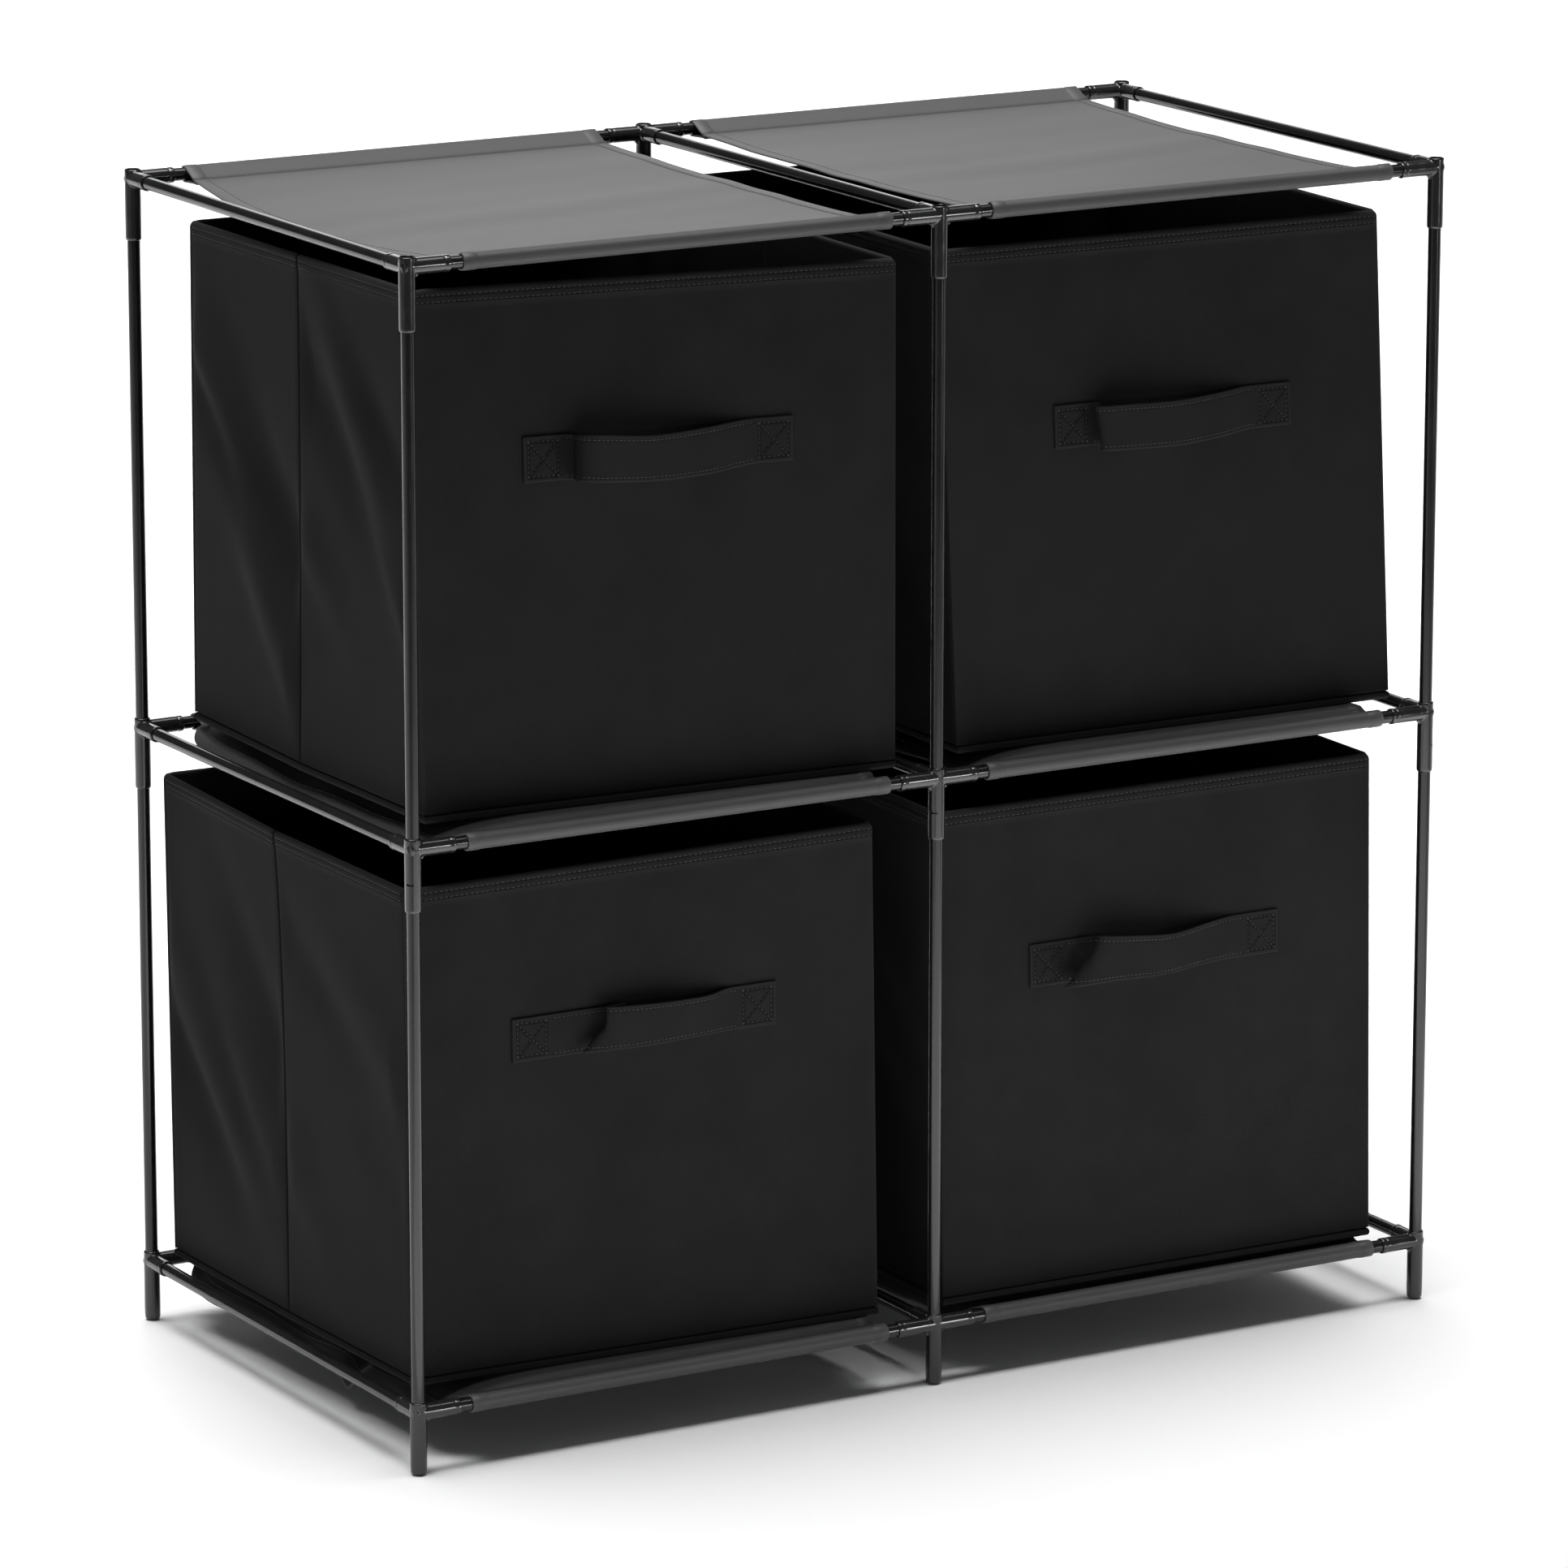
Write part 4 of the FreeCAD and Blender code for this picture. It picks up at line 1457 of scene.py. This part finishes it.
@dataclass
class Strap:
    """A cloth strap handle with two cross-stitched ends and a bowed middle.

    Attributes:
        node: the CAD node it stands for.
        body: the body it rides on.
        wall: the wall it is sewn to.
        middle: its middle along the wall.
        height: its middle above the wall's foot.
        upper: upper edge of the free span as (along, out, up), in millimetres.
        lower: its lower edge.
        length: end to end.
        width: width of the strap.
        thickness: thickness of the folded cloth.
        patch: sewn length at each end.
        edge_seam: distance of the stitch lines from the long edges.
        box_inset: distance of the crossed box from the edges of a sewn end.
        rim: width of the rounded border.
        end_lines: lines of points across each sewn end.
        span_lines: lines of points across the free span.
    """

    node: str
    body: str
    wall: Wall
    middle: float
    height: float
    upper: Points
    lower: Points
    length: float = 168 * MM
    width: float = 25.5 * MM
    thickness: float = 1.5 * MM
    patch: float = 24 * MM
    edge_seam: float = 2.5 * MM
    box_inset: float = 3.2 * MM
    rim: float = 0.75 * MM
    end_lines: int = 45
    span_lines: int = 131

    def edge_line(self, free: Points) -> np.ndarray:
        """Draw one long edge of the strap, from its left end to its right end.

        Args:
            free: (along, out, up) points of the free span, in millimetres.

        Returns:
            (along, out, up) of each line of points, in metres.
        """
        step = 0.4 * MM
        end, inner, rest = self.length / 2, self.length / 2 - self.patch, self.thickness / 2
        flat_left = [(-end, rest, 0.0), (-end + self.patch / 2, rest, 0.0), (-inner, rest, 0.0)]
        flat_right = [(inner, rest, 0.0), (inner + self.patch / 2, rest, 0.0), (end, rest, 0.0)]
        points = np.array([*flat_left, *((x * MM, d * MM, u * MM) for x, d, u in free), *flat_right])
        dense = curve_through(points, step)
        sewn = self.patch / step
        last = len(dense) - 1
        first_end = np.linspace(0, sewn, self.end_lines)
        span = np.linspace(sewn, last - sewn, self.span_lines)
        last_end = np.linspace(last - sewn, last, self.end_lines)
        share = np.concatenate([first_end, span[1:-1], last_end])
        return np.stack([np.interp(share, np.arange(len(dense)), dense[:, k]) for k in range(3)], axis=1)

    def box(self) -> list[tuple[tuple[float, float], tuple[float, float]]]:
        """Lay out the crossed box of a sewn end.

        Returns:
            (start, end) of each line, as distances from the strap's end and from its middle.
        """
        near, far, tall = self.box_inset, self.patch - self.box_inset, self.width / 2 - self.box_inset
        corners = [(near, -tall), (far, -tall), (far, tall), (near, tall)]
        sides = list(zip(corners, corners[1:] + corners[:1]))
        return [*sides, (corners[0], corners[2]), (corners[1], corners[3])]

    def build(self) -> None:
        """Make the strap and its stitches."""
        upper, lower = self.edge_line(self.upper), self.edge_line(self.lower)
        rows = spread(self.width, 0.6 * MM, self.rim)
        t = rows[None, :] / self.width
        along, out, raised = (lower[:, k : k + 1] * (1 - t) + upper[:, k : k + 1] * t for k in range(3))
        up = self.height - self.width / 2 + rows[None, :] + raised
        skin = self.wall.thickness / 2
        middle = self.wall.place(along + self.middle, up, skin + out)
        run = run_along(middle[:, len(rows) // 2])
        flat = np.stack(np.broadcast_arrays(run[:, None], rows[None, :]), axis=2)
        distance = border_distance(flat[..., 0], flat[..., 1])
        half = rounding(distance, self.rim, self.thickness / 2)
        sewn = self.sewn(along, rows) * smooth(distance, 0, 1 * MM)
        lift = -0.4 * MM * sewn
        # painted shade: the sewn grooves also darken the cloth
        piece = cloth_shell(self.node + "_cloth", middle, half, flat, Finish.BIN_CLOTH, lift, sewn)
        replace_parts(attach(piece, self.body), self.node)
        log.info("%s takes %.0f mm of strap", piece.name, run[-1] / MM)
        self.sew(middle, half, rows)

    def sewn(self, along: np.ndarray, rows: np.ndarray) -> np.ndarray:
        """Press in the sewn grooves: a crossed box at each end and a line near each long edge.

        Args:
            along: distance of each point from the strap's middle.
            rows: distance of each row of points from the lower edge.

        Returns:
            Depth of the grooves, 0 to 1.
        """
        inward = self.length / 2 - np.abs(along)
        across = (rows - self.width / 2)[None, :] + np.zeros_like(along)
        lines = [groove(from_segment(inward, across, *line), 0.7 * MM) for line in self.box()]
        boxes = np.max(lines, axis=0)
        edges = groove(np.minimum(rows, self.width - rows) - self.edge_seam, 0.5 * MM)[None, :]
        return np.where(inward < self.patch, np.clip(1.25 * boxes, 0, 1), 0.6 * edges)

    def sew(self, middle: np.ndarray, half: np.ndarray, rows: np.ndarray) -> None:
        """Sew both long edges of the free span and a crossed box at each end.

        Args:
            middle: the strap's middle surface.
            half: half its thickness at each point.
            rows: distance of each row of points from the lower edge.
        """
        sunk, box_sunk = 0.06 * MM, 0.35 * MM
        outer = middle + grid_normals(middle) * (half[..., None] - sunk)
        seams = (self.edge_seam, self.width - self.edge_seam)
        low, high = (int(np.argmin(np.abs(rows - seam))) for seam in seams)
        free = slice(self.end_lines + 1, -self.end_lines - 1)
        lines = [outer[free, low], outer[free, high]]
        boxes = []
        skin = self.wall.thickness / 2 + self.thickness - box_sunk
        for side in (-1, 1):
            for (x0, z0), (x1, z1) in self.box():
                t = np.linspace(0, 1, 9)
                along = self.middle + side * (self.length / 2 - x0 - (x1 - x0) * t)
                boxes.append(self.wall.place(along, self.height + z0 + (z1 - z0) * t, skin))
        tool = StitchTool(pitch=2.6 * MM, length=2.0 * MM, radius=0.24 * MM)
        tool.sew(self.node + "_stitches", lines, self.body, "strap_cloth")
        # the crossed boxes take the darker, shaded copy of the thread
        tool.sew(self.node + "_box_stitches", boxes, self.body, "strap_cloth", Finish.SHADED_THREAD)


def levelled(
    size: np.ndarray, step: float, edge: float, lip: tuple[float, ...] = ()
) -> tuple[np.ndarray, np.ndarray, np.ndarray]:
    """Grid of points on a piece that lies level.

    Args:
        size: its size.
        step: the spacing away from its border.
        edge: the width of its rounded border.
        lip: more distances from the border to include.

    Returns:
        Distance of each point from the left side, from the front and from the border.
    """
    us, vs = (spread(s, step, edge, (*lip, *(s - inwards for inwards in lip))) for s in size[:2])
    u, v = np.meshgrid(us, vs, indexing="ij")
    return u, v, border_distance(u, v)


@dataclass
class Bin:
    """One folding cloth bin.

    Attributes:
        name: such as upper_left.
        seed: seed of the soft folds.
        corners: how far each corner has settled from the square, in millimetres: the foot's, then
            the rim's, each time front left, front right, back left, back right.
        strap_upper: upper edge of the strap's free span as (along, out, up), in millimetres.
        strap_lower: its lower edge.
        strap_middle: middle of the strap from the middle of the front wall.
        strap_length: strap from end to end.
        strap_drop: how far the strap is sewn below its CAD node's height.
        push: how far the left middle fold has moved sideways, at the foot and at the rim.
        slack: how far the folds of the left side stand out.
        right_slack: the same on the right side.
        to_fold: how far the cloth of a half side reaches past its board, to the middle fold.
        to_corner: the same at the corner seam.
    """

    name: str
    seed: int
    corners: Points
    strap_upper: Points
    strap_lower: Points
    strap_middle: float = 0.0
    strap_length: float = 163 * MM
    strap_drop: float = 0.0
    push: tuple[float, float] = (0.0, 0.0)
    slack: float = 2.4 * MM
    right_slack: float = 2.4 * MM
    to_fold: float = 0.35 * MM
    to_corner: float = 0.65 * MM

    def node(self, part: str) -> str:
        """Name of one of the bin's CAD nodes."""
        return f"{self.name}_bin_{part}"

    def box(self, part: str) -> tuple[np.ndarray, np.ndarray]:
        """Lower and upper corner of one of the bin's CAD nodes."""
        low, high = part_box(self.node(part))
        return np.array(low), np.array(high)

    def creases(
        self, rng: np.random.Generator, width: float, height: float, count: int, tall: float
    ) -> tuple[Crease, ...]:
        """Draw random soft folds for one wall.

        Args:
            rng: where the random numbers come from.
            width: the wall's width.
            height: the wall's height.
            count: how many folds.
            tall: how far the strongest of them stands out.

        Returns:
            The folds, by turns raised and hollow.
        """
        made = []
        for number in range(count):
            along = (number + rng.uniform(0.2, 0.8)) / count
            up = rng.uniform(0.3, 0.75)
            lean = rng.uniform(36, 52)
            length, half = rng.uniform(60, 110) * MM, rng.uniform(14, 22) * MM
            stand = (-1) ** number * rng.uniform(0.6, 1) * tall
            made.append(Crease(along * width, up * height, lean, length, half, stand))
        return tuple(made)

    def settled(self) -> Settle:
        """Work out how the bin's square box has moved.

        Returns:
            The box and the shifts of its corners.
        """
        by_level_depth_side = (np.array(self.corners) * MM).reshape(2, 2, 2, 3)
        low, _ = self.box("floor")
        _, high = self.box("back_panel")
        return Settle(low, high, by_level_depth_side.transpose(2, 1, 0, 3), self.push)

    def build(self) -> None:
        """Make the whole bin."""
        settled = self.settled()
        rng = np.random.default_rng(self.seed)
        walls = self.walls(settled, rng)
        rows: dict[str, list[np.ndarray]] = {}
        for wall in walls.values():
            rows.setdefault(wall.body, []).extend(wall.build())
        self.floor(settled)
        self.board(settled)
        front = walls["front_panel"]
        strap_low, strap_high = self.box("handle")
        height = (strap_low[2] + strap_high[2]) / 2 - front.corner[2] - self.strap_drop
        middle = front.width / 2 + self.strap_middle
        edges = (self.strap_upper, self.strap_lower)
        Strap(self.node("handle"), front.body, front, middle, height, *edges, self.strap_length).build()
        for body, lines in rows.items():
            StitchTool().sew(body + "_hem_stitches", lines, body, "bin_cloth")

    def walls(self, settled: Settle, rng: np.random.Generator) -> dict[str, Wall]:
        """Plan the six walls with their soft folds, without building them.

        Args:
            settled: how the bin has settled.
            rng: where the random numbers come from.

        Returns:
            Each part's name and its wall.
        """
        plan = {
            "front_panel": ((1.0, 0, 0), "_front", 4, 0.5 * MM),
            "back_panel": ((-1.0, 0, 0), "", 4, 0.6 * MM),
            "rear_left_panel": ((0, -1.0, 0), "_rear_left", 6, self.slack),
            "front_left_panel": ((0, -1.0, 0), "_front_left", 5, self.slack * 0.75),
            "rear_right_panel": ((0, 1.0, 0), "_rear_right", 5, self.right_slack),
            "front_right_panel": ((0, 1.0, 0), "_front_right", 5, self.right_slack),
        }
        walls = {}
        for part, (way, suffix, count, tall) in plan.items():
            along = np.array(way)
            low, high = self.box(part)
            width, height = abs(float((high - low) @ along)), float(high[2] - low[2])
            corner = (low + high) / 2 - along * width / 2
            corner[2] = low[2]
            creases = self.creases(rng, width, height, count, tall)
            top, fold = 4 * MM, None
            if part not in ("front_panel", "back_panel"):
                starts_at_fold = part in ("front_left_panel", "rear_right_panel")
                corner = corner - along * (self.to_fold if starts_at_fold else self.to_corner)
                width = width + self.to_fold + self.to_corner
                top, fold = 2 * MM, (0.0 if starts_at_fold else width)
            body = f"{self.name}_bin{suffix}"
            place = (self.node(part), body, corner, along, width, height)
            walls[part] = Wall(*place, settled, creases, round_top=(top, top), fold=fold)
        return walls

    def floor(self, settled: Settle) -> None:
        """Make the cloth floor with the welt that runs round its edge, and paint shade over the welt.

        Args:
            settled: how the bin has settled.
        """
        low, high = self.box("floor")
        edge, lip, step, sheet = 1.2 * MM, 3.6 * MM, 0.5 * MM, 1 * MM
        u, v, distance = levelled(high - low, 8 * MM, edge, (lip, lip + step))
        welt = 1 - smooth(distance, lip, lip + step)
        thick = sheet + ((high - low)[2] - sheet) * welt
        half = rounding(distance, edge, 1.0) * thick / 2
        middle = settled.move(np.stack([low[0] + u, low[1] + v, low[2] + thick / 2], axis=2))
        flat = np.stack([u, v], axis=2)
        # painted shade over the welt, fading out inwards
        painted_shade = 0.85 * (1 - smooth(distance, lip, 2 * lip))
        node = self.node("floor")
        piece = cloth_shell(node + "_cloth", middle, half, flat, Finish.BIN_CLOTH, painted_shade=painted_shade)
        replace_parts(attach(piece, f"{self.name}_bin"), node)

    def board(self, settled: Settle) -> None:
        """Make the loose base board, covered in the same cloth.

        Args:
            settled: how the bin has settled.
        """
        low, high = self.box("base_board")
        edge = 1.4 * MM
        u, v, distance = levelled(high - low, 9 * MM, edge)
        half = rounding(distance, edge, (high - low)[2] / 2)
        level = np.full_like(u, (low[2] + high[2]) / 2)
        middle = settled.move(np.stack([low[0] + u, low[1] + v, level], axis=2))
        node = self.node("base_board")
        piece = cloth_shell(node + "_cloth", middle, half, np.stack([u, v], axis=2), Finish.BIN_CLOTH)
        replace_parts(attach(piece, f"{self.name}_bin_board"), node)


# ---------------------------------------------------------------- studio


@dataclass(frozen=True)
class Softbox:
    """A square soft light.

    Attributes:
        name: the light's name.
        place: where it stands.
        aim: what it points at.
        size: side of the square, in metres.
        power: watts.
        beam: angle of its beam, in degrees.
    """

    name: str
    place: tuple[float, float, float]
    aim: tuple[float, float, float]
    size: float
    power: float
    beam: float = 180

    def build(self) -> None:
        """Add the light."""
        light = bpy.data.lights.new(self.name, "AREA")
        light.size = self.size
        light.energy = self.power
        light.spread = math.radians(self.beam)
        holder = link(self.name, light)
        holder.location = self.place
        ray = Vector(self.aim) - Vector(self.place)
        holder.rotation_euler = ray.to_track_quat("-Z", "Y").to_euler()
        holder.visible_camera = False


@dataclass
class Studio:
    """Pale floor, soft lights and the camera.

    Attributes:
        azimuth: the camera's bearing, in degrees; 0 looks along +Y.
        elevation: how far above level it looks from, in degrees.
        distance: camera to target.
        target: the point it looks at.
        lens: focal length, in millimetres.
        sensor: width of the camera's sensor, in millimetres.
        far: how far the camera sees.
        roll: turn about the line of sight, in degrees.
        reach: half the side of the floor.
        sky: colour of the surrounding light.
        sky_strength: its strength.
        lights: the soft lights.
    """

    azimuth: float = -30.180
    elevation: float = 13.483
    distance: float = 4.7652
    target: tuple[float, float, float] = (-0.003587, -0.003114, 0.316632)
    lens: float = 190.04
    sensor: float = 36.0
    far: float = 200.0
    roll: float = 0.045
    reach: float = 60.0
    sky: tuple[float, float, float, float] = (0.95, 0.97, 1.0, 1)
    sky_strength: float = 0.08
    lights: tuple[Softbox, ...] = (
        Softbox("overhead", (2.4, 4.7, 3.0), (2.4, 4.7, 0), 11.0, 680, 66),
        Softbox("backlight", (2.5, 6.0, 2.4), (0, 0, 0.6), 3.0, 50),
        Softbox("key", (2.6, -5.0, 0.42), (0, 0, 0.35), 0.8, 38),
        Softbox("fill", (-5.5, -1.5, 0.5), (0, 0, 0.2), 0.9, 5),
        Softbox("bounce", (0, -1.0, 0.02), (0, -1.0, 1), 1.5, 10),
    )

    def build(self) -> None:
        """Set up the floor, the lights and the camera."""
        mesh = bpy.data.meshes.new("floor")
        corners = [(-1, -1), (1, -1), (1, 1), (-1, 1)]
        mesh.from_pydata([(x * self.reach, y * self.reach, 0) for x, y in corners], [], [(0, 1, 2, 3)])
        add_object("floor", mesh, Finish.FLOOR)
        for light in self.lights:
            light.build()
        world = bpy.data.worlds.new("studio")
        world.use_nodes = True
        background = world.node_tree.nodes["Background"]
        background.inputs["Color"].default_value = self.sky
        background.inputs["Strength"].default_value = self.sky_strength
        bpy.context.scene.world = world
        bpy.context.scene.view_settings.view_transform = "Standard"
        self.camera()

    def camera(self) -> None:
        """Add the camera."""
        a, e = math.radians(self.azimuth), math.radians(self.elevation)
        back = Vector((math.sin(a) * math.cos(e), -math.cos(a) * math.cos(e), math.sin(e)))
        data = bpy.data.cameras.new("camera")
        data.lens = self.lens
        data.sensor_width = self.sensor
        data.clip_end = self.far
        holder = link("camera", data)
        holder.location = Vector(self.target) + back * self.distance
        holder.rotation_mode = "QUATERNION"
        roll = Matrix.Rotation(math.radians(self.roll), 4, "Z").to_quaternion()
        holder.rotation_quaternion = (-back).to_track_quat("-Z", "Y") @ roll
        bpy.context.scene.camera = holder


# ---------------------------------------------------------------- the unit


def make_bins() -> list[Bin]:
    """List the four bins, each as it has settled in its bay.

    Returns:
        The bins, not built yet.
    """
    return [
        Bin(
            "upper_left",
            seed=11,
            corners=(
                (-3, 4.5, 0), (-2, -8, 0), (1.5, 4, 0), (3, -7, 0),
                (-5, 10, 3.5), (-1.5, -5.5, -2), (4.5, 6.5, -1.5), (3, -4.5, -1.5),
            ),
            strap_middle=-0.7 * MM,
            push=(-4 * MM, 0.0),
            slack=7 * MM,
            strap_upper=(
                (-52, 3, 0), (-53.2, 9.5, 0.6), (-50, 15.5, 1), (-40, 17.5, 0.5), (-10, 15.5, -2),
                (24, 8, -1.6), (46, 2.4, -0.4),
            ),
            strap_lower=(
                (-52, 3, 0), (-53.8, 9.5, 0.6), (-51, 15.5, 0.8), (-40, 17.5, 0), (-10, 15.5, -1.8),
                (24, 8, -2.4), (46, 2.4, -1),
            ),
        ),
        Bin(
            "upper_right",
            seed=23,
            corners=(
                (5.5, 1, 0), (6, -3, 0), (6, 1, 0), (6, -2.5, 0),
                (-7.5, 3, -2), (-7, -1, -3), (-4.5, 2.5, -1.5), (-4.5, -1, -1.5),
            ),
            strap_middle=3.6 * MM,
            strap_length=157 * MM,
            strap_drop=1.5 * MM,
            strap_upper=(
                (-51, 1.4, 0), (-50, 5.5, -0.5), (-56, 9.5, -0.6), (-53, 13, -0.6), (-34, 14.5, -0.8),
                (-2, 12, -1.8), (30, 5.5, -1), (46, 1.6, 0),
            ),
            strap_lower=(
                (-49, 1.4, 0), (-47, 5.5, -0.8), (-53, 9.5, -1.2), (-50, 13, -1.4), (-32, 14.5, -1.6),
                (-2, 12, -2.6), (30, 5.5, -1.6), (46, 1.6, -0.3),
            ),
        ),
        Bin(
            "lower_left",
            seed=37,
            corners=(
                (2.5, 5, 0), (4, -6, 0), (-0.5, 7, 0), (0.5, -4.5, 0),
                (-1.5, 2.5, -6.5), (-0.5, -5.5, -2), (-3, 6.5, -1.5), (-2.5, -5, -1.5),
            ),
            strap_middle=-0.3 * MM,
            strap_length=164 * MM,
            strap_drop=4 * MM,
            push=(-1.5 * MM, -4.5 * MM),
            slack=5.2 * MM,
            strap_upper=(
                (-41, 0.9, 0), (-21, 1.6, 0), (-14, 4.6, 1), (-19, 7.8, 2), (-28, 9.6, 2),
                (-19, 12, 1.6), (6, 12.5, 0.4), (34, 8, -0.8), (50, 2, 0),
            ),
            strap_lower=(
                (-47, 0.9, 0), (-33, 1.6, 0.5), (-28, 4.6, 1.8), (-34, 7.8, 2.6), (-43, 9.6, 2.6),
                (-33, 12, 2.4), (-2, 12.5, 2), (30, 8, 1.5), (50, 2, 0.3),
            ),
        ),
        Bin(
            "lower_right",
            seed=53,
            corners=(
                (-1.5, -0.5, 0), (-1.5, -4, 0), (4.5, 0, 0), (4, -3, 0),
                (-5, 3.5, -1.5), (-4, 0.5, -0.5), (2, 3, -1.5), (2, 0, -1.5),
            ),
            strap_middle=-2.3 * MM,
            strap_length=167 * MM,
            strap_drop=2 * MM,
            strap_upper=(
                (-52, 1, 0), (-40, 2.6, 0), (-36, 7.5, 0.6), (-44, 12.5, 2.6), (-40, 16.5, 2.8),
                (-22, 17, 1), (4, 14, -1.6), (32, 6, -0.6), (49, 1.6, 0),
            ),
            strap_lower=(
                (-57, 1, 0), (-52, 2.6, 0.4), (-54, 8, 0.6), (-67, 13, 1), (-60, 17, 1.4),
                (-36, 17, 1.6), (-2, 14, 0.2), (30, 6, 0.8), (49, 1.6, 0.2),
            ),
        ),
    ]


def make_shelves() -> list[Shelf]:
    """List the six shelves, with the bow of their free sides.

    Returns:
        The shelves, not built yet.
    """
    tubes = TubeFrame()
    heights = dict(zip(("bottom", "middle", "top"), tubes.heights.values()))
    centres = {"left": -tubes.column / 2, "right": tubes.column / 2}
    bows = {"left": (11 * MM, -1.5 * MM), "right": (1.5 * MM, -5 * MM)}
    shelves = []
    for number, (level, height) in enumerate(heights.items()):
        for side, (left, right) in bows.items():
            name = f"{level}_shelf_{side}"
            loose = left if level == "top" or side == "right" else left + 3 * MM
            shelf = Shelf(name, centres[side], height, level == "top", loose, right, seed=7 + number)
            if level == "bottom":
                shelf.droop = 17.5 * MM
            if name == "bottom_shelf_left":
                shelf.tail, shelf.drawn = -46 * MM, 8 * MM
            shelves.append(shelf)
    return shelves


def main() -> None:
    """Build the whole unit."""
    logging.basicConfig(level=logging.INFO, format="%(message)s")
    Studio().build()
    TubeFrame().build()
    for shelf in make_shelves():
        shelf.build()
    for box in make_bins():
        box.build()


if __name__ == "__main__":
    main()
